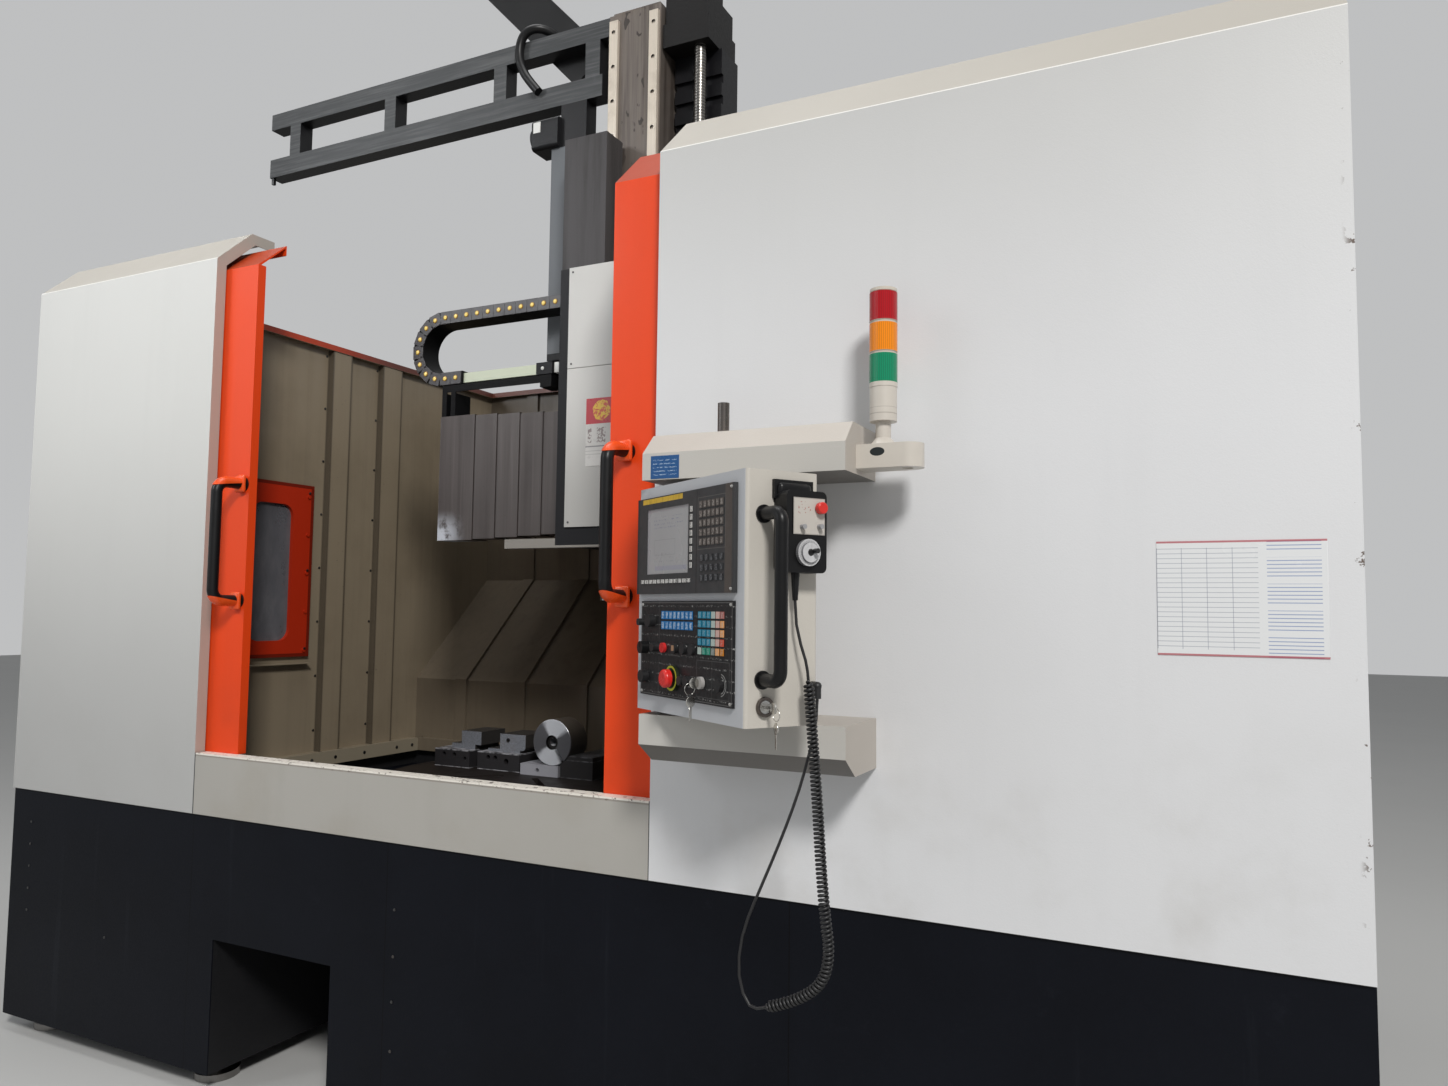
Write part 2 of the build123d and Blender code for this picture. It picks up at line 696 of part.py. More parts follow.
# Two linear rails bolted to the ram's front
with BuildPart() as ram_rails:
    rail_low = ram_z0 + 40
    rail_high = ram_z1 - 25
    bolt_pitch = (rail_high - rail_low - 80) / 14
    for rail_x in (ram_x0 + 6, ram_x1 - 39):
        block(rail_x, rail_x + 33, ram_y0 - ram_rail, ram_y0, rail_low, rail_high)
        for bolt in range(15):
            bar_y(
                rail_x + 16.5, ram_y0 - ram_rail - 1, ram_y0 - 5,
                rail_low + 40 + bolt * bolt_pitch, 7, Mode.SUBTRACT,
            )

# Turret head with four tool sockets
with BuildPart() as turret:
    block(
        turret_x - turret_half, turret_x + turret_half,
        turret_y - turret_half, turret_y + turret_half, turret_low, ram_z0 - rest_gap,
    )
    chamfer(turret.edges().filter_by(Axis.Z), 22)
    post(turret_x, turret_y, ram_z0 - rest_gap, ram_z0 + stub_height, stub_radius)
    bar_x(
        turret_x - turret_half - 1, turret_x - turret_half + socket_depth,
        turret_y, turret_z, socket_radius, Mode.SUBTRACT,
    )
    bar_x(
        turret_x + turret_half - socket_depth, turret_x + turret_half + 1,
        turret_y, turret_z, socket_radius, Mode.SUBTRACT,
    )
    bar_y(
        turret_x, turret_y - turret_half - 1, turret_y - turret_half + socket_depth,
        turret_z, socket_radius, Mode.SUBTRACT,
    )
    bar_y(
        turret_x, turret_y + turret_half - socket_depth, turret_y + turret_half + 1,
        turret_z, socket_radius, Mode.SUBTRACT,
    )

# Round table with spindle, rim chamfer and four slots
with BuildPart() as table:
    post(table_x, table_y, table_bottom, table_top, table_radius)
    chamfer(table.edges().filter_by(GeomType.CIRCLE), 5)
    post(table_x, table_y, 700, table_bottom, spindle_radius)
    with Locations(Pos(table_x, table_y, table_top)):
        with PolarLocations(300, 4, start_angle=45):
            Box(420, 22, 60, mode=Mode.SUBTRACT)

# Jaw boxes on the table with cross holes in their faces, and the block under the workpiece
box_top = 1032
rest_top = 1008
work_radius = 78
work_x = -184
work_y0 = 636
work_y1 = 736
work_z = rest_top + work_radius
with BuildPart() as jaw_boxes:
    block(-703, -545, 645, 835, table_top, box_top)
    block(-517, -333, 655, 845, table_top, box_top)
    block(-312, -156, 634, 760, table_top, rest_top)
    block(-150, -20, 640, 860, table_top, 1045)
    bar_y(work_x, work_y0 - 2, 862, work_z, work_radius, Mode.SUBTRACT)
    for hole_x, hole_y, hole_z, hole_radius in (
        (-661, 645, 1014, 8), (-614, 645, 1014, 8), (-566, 645, 1003, 7),
        (-469, 655, 1014, 8), (-438, 655, 1014, 8), (-390, 655, 1004, 10), (-241, 634, 989, 7),
    ):
        bar_y(hole_x, hole_y - 1, hole_y + 30, hole_z, hole_radius, Mode.SUBTRACT)

# Round workpiece with a recessed centre, a bore and a slot in its rim
with BuildPart() as workpiece:
    bar_y(work_x, work_y0, work_y1, work_z, work_radius)
    chamfer(workpiece.edges().filter_by(GeomType.CIRCLE), 2)
    bar_y(work_x, work_y0 - 1, work_y0 + 12, work_z, 24, Mode.SUBTRACT)
    bar_y(work_x, work_y0 - 1, work_y0 + 60, work_z, 13, Mode.SUBTRACT)
    with Locations(Location((work_x, work_y0, work_z), (0, -36, 0))):
        Box(9, 24, 2 * work_radius + 2, align=(Align.CENTER, Align.CENTER, Align.MAX), mode=Mode.SUBTRACT)
    bar_y(work_x, work_y0 + 9, work_y1 - 20, work_z, 20)
    bar_y(work_x, work_y0 - 1, work_y0 + 60, work_z, 13, Mode.SUBTRACT)

# Stepped jaws that slide on the first two boxes
with BuildPart() as jaw_left:
    block(-655, -549, 680, 814, box_top + slide_gap, 1050)
    block(-611, -522, 680, 814, 1049, 1096)

with BuildPart() as jaw_right:
    block(-438, -327, 680, 814, 1041, 1096)
    fillet(jaw_right.edges().filter_by(Axis.Y).group_by(Axis.Z)[0].sort_by(Axis.X)[-1], 13)
    block(-490, -350, 680, 814, box_top + slide_gap, 1042)
    bar_y(-403, 679, 700, 1074, 8, Mode.SUBTRACT)

# Doors: folded sheet with a bevelled hood, a lip and a window surround
door_low = shelf_z + door_gap
door_back = door_front + door_depth


def door(x0, top_z, hood_y, hood_z):
    x1 = x0 + door_width
    window_x0 = x0 + window_margin
    window_x1 = x1 - window_margin
    block(x0, x1, door_front, door_back, door_low, top_z)
    block(
        x0 + sheet, x1 - sheet, door_front + sheet, door_back + 1,
        door_low + sheet, top_z - sheet, Mode.SUBTRACT,
    )
    prism_x(
        [
            (door_front, top_z - 30), (door_front, top_z), (hood_y, hood_z),
            (hood_y, hood_z - 35), (hood_y - sheet, hood_z - 35), (hood_y - sheet, hood_z - 9),
            (door_front + sheet, top_z - 6), (door_front + sheet, top_z - 30),
        ],
        x0, x1,
    )
    block(window_x0 - 30, window_x1 + 30, door_front + 1, door_back, window_low - 30, window_high + 30)
    with BuildSketch(Plane.XZ.offset(-door_front + 1), mode=Mode.PRIVATE) as opening:
        with Locations(((window_x0 + window_x1) / 2, (window_low + window_high) / 2)):
            RectangleRounded(window_x1 - window_x0, window_high - window_low, window_radius)
    extrude(opening.sketch, amount=-(door_depth + 2), mode=Mode.SUBTRACT)


def door_pane(x0):
    x1 = x0 + door_width
    with BuildSketch(Plane.XZ.offset(-door_front - 12), mode=Mode.PRIVATE) as pane:
        with Locations(((x0 + x1) / 2, (window_low + window_high) / 2)):
            RectangleRounded(
                door_width - 2 * window_margin, window_high - window_low, window_radius,
            )
    extrude(pane.sketch, amount=-6)


with BuildPart() as left_door:
    door(left_door_x, 2675, 149, 2772)

with BuildPart() as right_door:
    door(right_door_x, 2702, 169, 2828)

with BuildPart() as left_window:
    door_pane(left_door_x)

with BuildPart() as right_window:
    door_pane(right_door_x)


# Door handles: bent tubes on round feet
def door_handle(x, low, high):
    points = [
        (x, door_front - 6, low), (x, handle_reach, low),
        (x, handle_reach, high), (x, door_front - 6, high),
    ]
    tube(points, [36, 36], handle_radius)
    bar_y(x, door_front - 6, door_front, low, 25)
    bar_y(x, door_front - 6, door_front, high, 25)


left_handle_x = -1012
right_handle_x = 463
with BuildPart() as left_handle:
    door_handle(left_handle_x, 1556, 1937)

with BuildPart() as right_handle:
    door_handle(right_handle_x, 1576, 1959)

# Pendant box, drawn around the pivot and turned at the end
gland_y = 8
gland_x = 371
gland_z = 1391
gland_low = 1366
with BuildPart() as pendant_box:
    block(pendant_x0, pendant_x1, pendant_y0, pendant_y1, pendant_z0, pendant_z1)
    fillet(pendant_box.edges().filter_by(Axis.Z), 8)
    block(
        pendant_x0 + sheet, pendant_x1 - sheet, pendant_y0 + sheet, pendant_y1 - sheet,
        pendant_z0 + sheet, pendant_z1 - sheet, Mode.SUBTRACT,
    )
    post(0, 0, pendant_z0, pendant_z0 + 64, 21)
    post(0, 0, pendant_z1 - 60, pendant_z1, 21)
    post(0, 0, pendant_z0 - 1, pendant_z1 + 1, pin_radius + turn_fit, Mode.SUBTRACT)
    bar_y(stop_x, pendant_y0 - 1, pendant_y0 + 10, stop_z, stop_stem + 2, Mode.SUBTRACT)
    bar_y(feed_x, pendant_y0 - 1, pendant_y0 + 10, feed_z, feed_stem + 2, Mode.SUBTRACT)
    bar_x(pendant_x1 - 10, pendant_x1 + 1, lock_y, lock_z, lock_barrel + turn_fit, Mode.SUBTRACT)
    bar_x(pendant_x1, gland_x, gland_y, gland_z, 9)
    with Locations((gland_x, gland_y, gland_z)):
        Sphere(9)
    post(gland_x, gland_y, gland_low, gland_z, 8)

# Display unit: plate with a screen recess and raised keys
with BuildPart() as display_unit:
    block(-118, 319, display_front, pendant_y0, 1577, 1799)
    block(-69, 130, display_front - 1, display_front + 5, 1622, 1771, Mode.SUBTRACT)
    key_field(138, 151, 1629, 1767, 1, 8, 0.7, display_front, 2)
    key_field(-96, 146, 1599, 1611, 12, 1, 0.7, display_front, 2)
    key_field(178, 282, 1675, 1774, 6, 5, 0.78, display_front, 2)
    key_field(182, 284, 1599, 1662, 5, 3, 0.62, display_front, 2)

with BuildPart() as screen:
    block(-69, 130, display_front + 2, display_front + 5, 1622, 1771)

# Operator panel: plate, keys, fixed switches and the collar of the stop button
with BuildPart() as operator_panel:
    block(-98, 314, panel_front, pendant_y0, 1347, 1561)
    key_field(4, 152, 1496, 1541, 8, 2, 0.8, panel_front, 2)
    key_field(172, 283, 1447, 1541, 6, 5, 0.76, panel_front, 2)
    for switch_x, switch_z, switch_radius in (
        (-86, 1513, 8), (-38, 1516, 14), (-15, 1457, 10), (-69, 1389, 14), (116, 1390, 10), (144, 1390, 10),
    ):
        bar_y(switch_x, panel_front - 16, panel_front, switch_z, switch_radius)
    for push_x in (20, 73, 113, 152):
        bar_y(push_x, panel_front - 8, panel_front, 1457, 11)
    for key_x in (192, 267):
        bar_y(key_x, panel_front - 9, panel_front, 1390, 13)
    bar_y(stop_x, panel_front - 8, panel_front, stop_z, 28)
    bar_y(stop_x, panel_front - 9, pendant_y0 + 1, stop_z, stop_stem + turn_fit, Mode.SUBTRACT)
    bar_y(feed_x, panel_front - 9, pendant_y0 + 1, feed_z, feed_stem + turn_fit, Mode.SUBTRACT)

# Emergency stop mushroom on its stem
stop_gap = 6
with BuildPart() as e_stop:
    bar_y(stop_x, panel_front - 8 - stop_gap, pendant_y0 + 2, stop_z, stop_stem)
    bar_y(stop_x, panel_front - 8 - stop_gap - 16, panel_front - 8 - stop_gap, stop_z, 20)
    fillet(e_stop.faces().sort_by(Axis.Y)[0].edges(), 7)

# Feed knob on its spindle
with BuildPart() as feed_knob:
    bar_y(feed_x, panel_front - 1, pendant_y0 + 2, feed_z, feed_stem)
    bar_y(feed_x, panel_front - 19, panel_front - 1, feed_z, 14)
    block(feed_x - 1, feed_x + 1, panel_front - 20, panel_front - 18, feed_z, feed_z + 15, Mode.SUBTRACT)

# Grab handle on the pendant's side
grab_x = pendant_x1 + 65
grab_y = -112
grab_low = 1405
grab_high = 1735
grab_radius = 13.5
with BuildPart() as grab_handle:
    tube(
        [
            (pendant_x1 + 4, grab_y, grab_low), (grab_x, grab_y, grab_low),
            (grab_x, grab_y, grab_high), (pendant_x1 + 4, grab_y, grab_high),
        ],
        [22, 22], grab_radius,
    )
    bar_x(pendant_x1, pendant_x1 + 4, grab_y, grab_low, grab_radius + 5)
    bar_x(pendant_x1, pendant_x1 + 4, grab_y, grab_high, grab_radius + 5)

# Cam lock with its key
lock_gap = 0.3
with BuildPart() as cam_lock:
    bar_x(pendant_x1 - 16, pendant_x1 + lock_gap, lock_y, lock_z, lock_barrel)
    bar_x(pendant_x1 + lock_gap, pendant_x1 + 6, lock_y, lock_z, 13)
    block(pendant_x1 + 6, pendant_x1 + 24, lock_y - 1, lock_y + 1, lock_z - 8, lock_z + 8)

# Handset with wheel, button and strain relief
lead_x = 374
lead_y = -50
lead_top = 1563
handset_low = 1618
handset_top = 1782
with BuildPart() as handset:
    block(pendant_x1, handset_x1, -87, 11, handset_low, handset_top)
    fillet(handset.edges().filter_by(Axis.X), 12)
    block(handset_x1, handset_x1 + 2, -72, 5, 1694, 1768)
    block(pendant_x1, pendant_x1 + 10, -92, 2, handset_top - 14, handset_top + 24)
    bar_x(
        handset_x1 - 16, handset_x1 + 3, button_y, button_z,
        button_stem + turn_fit, Mode.SUBTRACT,
    )
    bar_x(handset_x1 - 16, handset_x1 + 3, wheel_y, wheel_z, wheel_stem + turn_fit, Mode.SUBTRACT)
    bar_x(handset_x1 + 2, handset_x1 + 14, -52, 1709, 5)
    bar_x(handset_x1 + 2, handset_x1 + 14, -10, 1711, 5)
    with Locations((lead_x, lead_y, (lead_top + handset_low) / 2)):
        Cone(5.5, 9, handset_low - lead_top)

with BuildPart() as red_button:
    bar_x(handset_x1 - 12, handset_x1 + 5, button_y, button_z, button_stem)
    bar_x(handset_x1 + 5, handset_x1 + 17, button_y, button_z, 12)
    fillet(red_button.faces().sort_by(Axis.X)[-1].edges(), 3)

with BuildPart() as handwheel:
    bar_x(handset_x1 - 14, handset_x1 + 1, wheel_y, wheel_z, wheel_stem)
    bar_x(handset_x1 + 1, handset_x1 + 10, wheel_y, wheel_z, 27)
    bar_x(handset_x1 + 10, handset_x1 + 15, wheel_y, wheel_z, 20)
    bar_x(handset_x1 + 15, handset_x1 + 28, wheel_y + 8, wheel_z + 3, 5)

# Places of the pendant's cable ends in the machine's own directions
turn = math.radians(pendant_turn)


def from_pendant(x, y, z):
    return (
        pivot_x + x * math.cos(turn) - y * math.sin(turn),
        pivot_y + x * math.sin(turn) + y * math.cos(turn),
        z,
    )


lead_end = from_pendant(lead_x, lead_y, lead_top)
gland_end = from_pendant(gland_x, gland_y, gland_low)
coil_points = [
    (1134, -352, 1405), (1152, -350, 1200), (1167, -354, 990),
    (1187, -352, 846), (1120, -350, 780), (1045, -350, 757),
]
lead_points = [
    lead_end,
    (lead_end[0], lead_end[1], 1510),
    (1130.94, -352.34, 1439.86),
    coil_points[0],
]
return_points = [
    coil_points[-1], (1010.8, -350, 746.5), (983, -347, 806), (990, -345, 888), (1020, -343, 962),
    (1052, -340, 1036), (1083, -337, 1112), (1108, -330, 1185), (1125, -321, 1255),
    (gland_end[0], gland_end[1], 1322), gland_end,
]

with BuildPart() as curly_cord:
    tube(coil_points, bend_radii(coil_points), coil_radius)

with BuildPart() as cord_upper_lead:
    tube(lead_points, bend_radii(lead_points), cable_radius)

with BuildPart() as cord_return:
    tube(return_points, bend_radii(return_points), cable_radius)

for cord_name, cord_points in (
    ("curly_cord", coil_points), ("cord_upper_lead", lead_points), ("cord_return", return_points),
):
    print(cord_name, "bend radii", [round(radius, 1) for radius in bend_radii(cord_points)])

pieces = {
    "levelling_feet": levelling_feet.part,
    "base_casting": base_casting.part,
    "base_skirt": base_skirt.part,
    "column": column.part,
    "crossrail": crossrail.part,
    "left_cabinet": left_cabinet.part,
    "right_cabinet": right_cabinet.part,
    "sill_panel": sill_panel.part,
    "inner_left_wall": inner_left_wall.part,
    "window_frame": window_frame.part,
    "window_glass": window_glass.part,
    "back_wall": back_wall.part,
    "upper_arm": upper_arm.part,
    "lower_arm": lower_arm.part,
    "pivot_pin": pivot_pin.part,
    "tower_stand": tower_stand.part,
    "tower_lenses": tower_lenses.part,
    "chain_tray": chain_tray.part,
    "energy_chain": energy_chain.part,
    "x_ball_screw": x_ball_screw.part,
    "saddle": saddle.part,
    "saddle_cover": saddle_cover.part,
    "screw_block": screw_block.part,
    "ladder_frame": ladder_frame.part,
    "cable_duct": cable_duct.part,
    "drive_motor": drive_motor.part,
    "z_ball_screw": z_ball_screw.part,
    "ram": ram.part,
    "ram_rails": ram_rails.part,
    "turret": turret.part,
    "table": table.part,
    "jaw_boxes": jaw_boxes.part,
    "workpiece": workpiece.part,
    "jaw_left": jaw_left.part,
    "jaw_right": jaw_right.part,
    "left_door": left_door.part,
    "left_window": left_window.part,
    "left_handle": left_handle.part,
    "right_door": right_door.part,
    "right_window": right_window.part,
    "right_handle": right_handle.part,
}
for index, cover_part in enumerate(way_covers):
    pieces["way_cover_" + str(index)] = cover_part

pendant_place = Pos(pivot_x, pivot_y, 0) * Rot(0, 0, pendant_turn)
pendant_pieces = {
    "pendant_box": pendant_box.part,
    "display_unit": display_unit.part,
    "screen": screen.part,
    "operator_panel": operator_panel.part,
    "e_stop": e_stop.part,
    "feed_knob": feed_knob.part,
    "grab_handle": grab_handle.part,
    "cam_lock": cam_lock.part,
    "handset": handset.part,
    "red_button": red_button.part,
    "handwheel": handwheel.part,
}
for name, part in pendant_pieces.items():
    pieces[name] = part.moved(pendant_place)

# The origin goes under the middle of the box around everything except the cords
boxes = [part.bounding_box() for part in pieces.values()]
front = min(box.min.Y for box in boxes)
back = max(box.max.Y for box in boxes)
middle = (front + back) / 2
print("box y", front, back, "moved by", -middle)
print("box x", min(box.min.X for box in boxes), max(box.max.X for box in boxes))
print("box z", min(box.min.Z for box in boxes), max(box.max.Z for box in boxes))

pieces["curly_cord"] = curly_cord.part
pieces["cord_upper_lead"] = cord_upper_lead.part
pieces["cord_return"] = cord_return.part
for name, part in pieces.items():
    placed = part.moved(Pos(0, -middle, 0))
    placed.label = name
    export_step(placed, "parts/" + name + ".step")
print(len(pieces), "pieces")
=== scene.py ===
# %% [markdown]
# # A vertical turret lathe
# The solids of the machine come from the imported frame. This script gives them their finishes,
# adds the small pieces that are too fine for the solids, and lights a plain studio.
# Everything is in metres and in the frame of the solids.

import bpy
import math
from mathutils import Matrix, Vector


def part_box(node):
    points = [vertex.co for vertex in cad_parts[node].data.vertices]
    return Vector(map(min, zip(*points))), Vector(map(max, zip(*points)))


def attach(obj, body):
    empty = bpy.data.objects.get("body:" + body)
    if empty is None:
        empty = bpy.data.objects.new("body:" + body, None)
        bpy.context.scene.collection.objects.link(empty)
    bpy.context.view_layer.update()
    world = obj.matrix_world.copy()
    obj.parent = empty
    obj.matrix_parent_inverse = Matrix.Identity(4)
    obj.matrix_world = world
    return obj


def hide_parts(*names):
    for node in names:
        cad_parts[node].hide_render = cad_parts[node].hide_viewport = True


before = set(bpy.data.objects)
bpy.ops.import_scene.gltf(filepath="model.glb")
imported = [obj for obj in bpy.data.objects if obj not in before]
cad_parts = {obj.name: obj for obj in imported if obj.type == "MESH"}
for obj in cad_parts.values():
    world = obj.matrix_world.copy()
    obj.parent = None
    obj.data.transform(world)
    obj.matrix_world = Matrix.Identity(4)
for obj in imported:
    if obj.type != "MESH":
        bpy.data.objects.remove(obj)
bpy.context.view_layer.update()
scene = bpy.context.scene

# %% [markdown]
# ## Places
# The machine was drawn with its front sheets at y = 0 and in millimetres. The origin of the frame
# lies further back, under the middle of the machine. One helper turns drawing places into frame
# places, and a second one does the same for the pendant, which hangs turned on its pin.

# %% Drawing places
FRONT_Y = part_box("sill_panel")[0][1]
PIVOT = (0.823, -0.115)
PENDANT_TURN = math.radians(-33.2)


def place(x, y, z):
    return Vector((x / 1000, y / 1000 + FRONT_Y, z / 1000))


def pendant_matrix():
    spot = Matrix.Translation((PIVOT[0], PIVOT[1] + FRONT_Y, 0))
    return spot @ Matrix.Rotation(PENDANT_TURN, 4, "Z")


def on_pendant(x, y, z):
    return pendant_matrix() @ Vector((x / 1000, y / 1000, z / 1000))


print("pendant corner", tuple(on_pendant(351, -152, 1311)))

# %% [markdown]
# ## Camera
# The camera stands at eye level in front of the right cabinet and looks a little to the left and
# up, so that the whole machine is in view. The lens is wide. Its length comes from the picture's
# width and the distance, in picture points, at which the view was taken.

# %% Camera
YAW, PITCH, ROLL = math.radians(26.10), math.radians(3.81), math.radians(0.67)
PICTURE_WIDTH = 1448
FOCAL_POINTS = 1015.7
SENSOR_WIDTH = 36
ahead = Vector((-math.sin(YAW) * math.cos(PITCH), math.cos(YAW) * math.cos(PITCH), math.sin(PITCH)))
side = Vector((math.cos(YAW), math.sin(YAW), 0))
above = side.cross(ahead)
camera_x = side * math.cos(ROLL) + above * math.sin(ROLL)
camera_y = above * math.cos(ROLL) - side * math.sin(ROLL)
camera_data = bpy.data.cameras.new("camera")
camera_data.sensor_width = SENSOR_WIDTH
camera_data.lens = FOCAL_POINTS / PICTURE_WIDTH * SENSOR_WIDTH
camera_data.clip_start = 0.05
camera = bpy.data.objects.new("camera", camera_data)
scene.collection.objects.link(camera)
turn = Matrix((camera_x, camera_y, -ahead)).transposed().to_4x4()
camera.matrix_world = Matrix.Translation(place(1874, -2250, 1541)) @ turn
scene.camera = camera
print("lens", round(camera_data.lens, 2))

# %% [markdown]
# ## Helpers for shader maths
# A material is easier to read when its maths looks like maths. `Signal` wraps one socket of a
# node tree. Plus, minus, times and so on add Math nodes, and `node` adds any other node.


# %% Signal
class Signal:
    def __init__(self, tree, socket):
        self.tree = tree
        self.socket = socket

    def node(self, kind, settings=None, sockets=None, out=0):
        made = self.tree.nodes.new(kind)
        for key, value in (settings or {}).items():
            if key == "steps":
                ramp = made.color_ramp
                ramp.interpolation = "CONSTANT"
                ramp.elements[1].position = 1 / len(value)
                for index in range(2, len(value)):
                    ramp.elements.new(index / len(value))
                for element, colour in zip(ramp.elements, value):
                    element.color = (*colour, 1)
            else:
                setattr(made, key, value)
        for key, value in (sockets or {}).items():
            if isinstance(value, Signal):
                self.tree.links.new(value.socket, made.inputs[key])
            else:
                made.inputs[key].default_value = value
        return Signal(self.tree, made.outputs[out])

    def math(self, operation, *values):
        sockets = dict(enumerate(values or (self,)))
        return self.node("ShaderNodeMath", {"operation": operation}, sockets)

    def __add__(self, other):
        return self.math("ADD", self, other)

    def __radd__(self, other):
        return self.math("ADD", other, self)

    def __sub__(self, other):
        return self.math("SUBTRACT", self, other)

    def __rsub__(self, other):
        return self.math("SUBTRACT", other, self)

    def __mul__(self, other):
        return self.math("MULTIPLY", self, other)

    def __rmul__(self, other):
        return self.math("MULTIPLY", other, self)

    def __truediv__(self, other):
        return self.math("DIVIDE", self, other)

    def __gt__(self, other):
        return self.math("GREATER_THAN", self, other)

    def __lt__(self, other):
        return self.math("LESS_THAN", self, other)

    def __abs__(self):
        return self.math("ABSOLUTE")

    def share(self, pitch):
        return (self / pitch).math("FRACT")

    def wave(self):
        return self.math("SINE") * 0.5 + 0.5

    def between(self, low, high):
        return (self > low) * (self < high)

    def smooth(self, low, high):
        sockets = {"Value": self, "From Min": low, "From Max": high}
        return self.node("ShaderNodeMapRange", {"interpolation_type": "SMOOTHSTEP"}, sockets)

    def noise(self, scale, detail=3.0, roughness=0.55, distortion=0.0):
        sockets = {
            "Vector": self, "Scale": scale, "Detail": detail,
            "Roughness": roughness, "Distortion": distortion,
        }
        return self.node("ShaderNodeTexNoise", {}, sockets)

    def stretched(self, x, y, z):
        return self.node("ShaderNodeVectorMath", {"operation": "MULTIPLY"}, {0: self, 1: (x, y, z)})

    def axes(self):
        split = self.tree.nodes.new("ShaderNodeSeparateXYZ")
        self.tree.links.new(self.socket, split.inputs[0])
        return [Signal(self.tree, output) for output in split.outputs]

    def lines(self, pitch, width):
        return self.share(pitch) < width

    def bands(self, low, high, colours):
        share = (self - low) / (high - low)
        return share.node("ShaderNodeValToRGB", {"steps": colours}, {"Fac": share})

    def tint(self, first, second):
        sockets = {0: self}
        for key, value in ((6, first), (7, second)):
            sockets[key] = value if isinstance(value, Signal) else (*value, 1)
        return self.node("ShaderNodeMix", {"data_type": "RGBA"}, sockets, out=2)


def off_centre(across, up):
    return (across * across + up * up).math("SQRT")


print("shader helpers ready")

# %% [markdown]
# A finish is one material. `over` lays a further colour over what the finish shows so far, where a
# mask is 1, in the way that a painter lays one coat over another. `facing` tells which way the
# surface looks, so painted shade can fall only on upward faces or only on undersides.


# %% Finish
class Finish:
    def __init__(self, name, colour, roughness, metallic=0.0):
        self.material = bpy.data.materials.new(name)
        self.material.use_nodes = True
        self.tree = self.material.node_tree
        self.shader = self.tree.nodes["Principled BSDF"]
        self.set("Base Color", colour)
        self.set("Roughness", roughness)
        self.set("Metallic", metallic)
        coordinates = self.tree.nodes.new("ShaderNodeTexCoord")
        self.at = Signal(self.tree, coordinates.outputs["Object"])
        self.material.diffuse_color = (*colour, 1)

    def set(self, name, value):
        if isinstance(value, Signal):
            self.tree.links.new(value.socket, self.shader.inputs[name])
        elif isinstance(value, tuple) and len(value) == 3:
            self.shader.inputs[name].default_value = (*value, 1)
        else:
            self.shader.inputs[name].default_value = value

    def over(self, mask, colour):
        shown = Signal(self.tree, self.shader.inputs["Base Color"].links[0].from_socket)
        self.set("Base Color", mask.tint(shown, colour))

    def facing(self):
        geometry = self.tree.nodes.new("ShaderNodeNewGeometry")
        return Signal(self.tree, geometry.outputs["Normal"]).axes()

    def shine(self, level):
        self.set("Specular IOR Level", level)

    def patchy(self, scale, spread, smoothest):
        self.set("Roughness", self.at.noise(scale).smooth(0.3, 0.8) * spread + smoothest)

    def bump(self, height, distance, strength):
        sockets = {"Height": height, "Distance": distance, "Strength": strength}
        self.set("Normal", self.at.node("ShaderNodeBump", {}, sockets))


def shade_of(colour, share, lift=0.0):
    return tuple(part * share + lift for part in colour)


def dress(finish, *nodes):
    for node in nodes:
        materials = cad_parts[node].data.materials
        if not len(materials):
            materials.append(finish.material)
        for index in range(len(materials)):
            materials[index] = finish.material
    print(finish.material.name, "on", *nodes)


# %% [markdown]
# ## Painted sheet
# The cabinets are folded steel with a textured powder coat. Two sizes of noise make the coat: a
# fine grain that catches the light, and a slow change of tone where hands and oil have been. The
# lower edges are a little dirtier. Faces that look up get a darker, warmer colour, which is painted
# shade, and a thin pale line along the fold of a cabinet's top is a painted highlight.

# %% Powder coat
TOP_FACE_SHADE = (0.43, 0.405, 0.36)
UNDERSIDE = (0.05, 0.05, 0.05)
BARE_CHIP = (0.13, 0.10, 0.085)


def powder_coat(name, colour, dirt=(0.33, 0.30, 0.25), wear=0.35, roughness=0.42):
    coat = Finish(name, colour, roughness)
    slow = coat.at.noise(1.3, 4.0)
    streak = coat.at.stretched(9.0, 9.0, 0.7).noise(1.0, 4.0, 0.6)
    tone = (slow.smooth(0.35, 0.75) * 0.5 + streak.smooth(0.5, 0.8) * 0.5) * wear
    coat.set("Base Color", tone.tint(colour, shade_of(colour, 0.86)))
    low = coat.at.axes()[2].smooth(1.5, 0.9) * coat.at.noise(5.0, 5.0).smooth(0.45, 0.75) * wear
    coat.over(low * 0.6, dirt)
    coat.over(coat.at.noise(240.0, 2.0).smooth(0.55, 0.8) * 0.12, shade_of(colour, 0.7))
    coat.set("Roughness", coat.at.noise(3.0, 3.0).smooth(0.2, 0.8) * 0.14 + (roughness - 0.07))
    coat.bump(coat.at.noise(330.0, 2.0) + coat.at.noise(90.0, 2.0) * 0.4, 0.0006, 0.35)
    return coat


# Faces that look up get a darker, warmer colour: painted shade on the top bevels and ledges.
def shade_top_faces(coat, shade_colour=TOP_FACE_SHADE):
    coat.over(coat.facing()[2].smooth(0.2, 0.6), shade_colour)


def shaded_underside(coat):
    coat.over(coat.facing()[2].smooth(-0.1, -0.6) * 0.75, UNDERSIDE)


# A thin pale line along the fold where a front meets its top bevel: a painted highlight.
def fold_highlight(coat, height):
    fold = coat.at.axes()[2].between(height - 0.0005, height + 0.0045) * (coat.facing()[1] < -0.1)
    coat.over(fold * 0.8, (0.82, 0.81, 0.78))


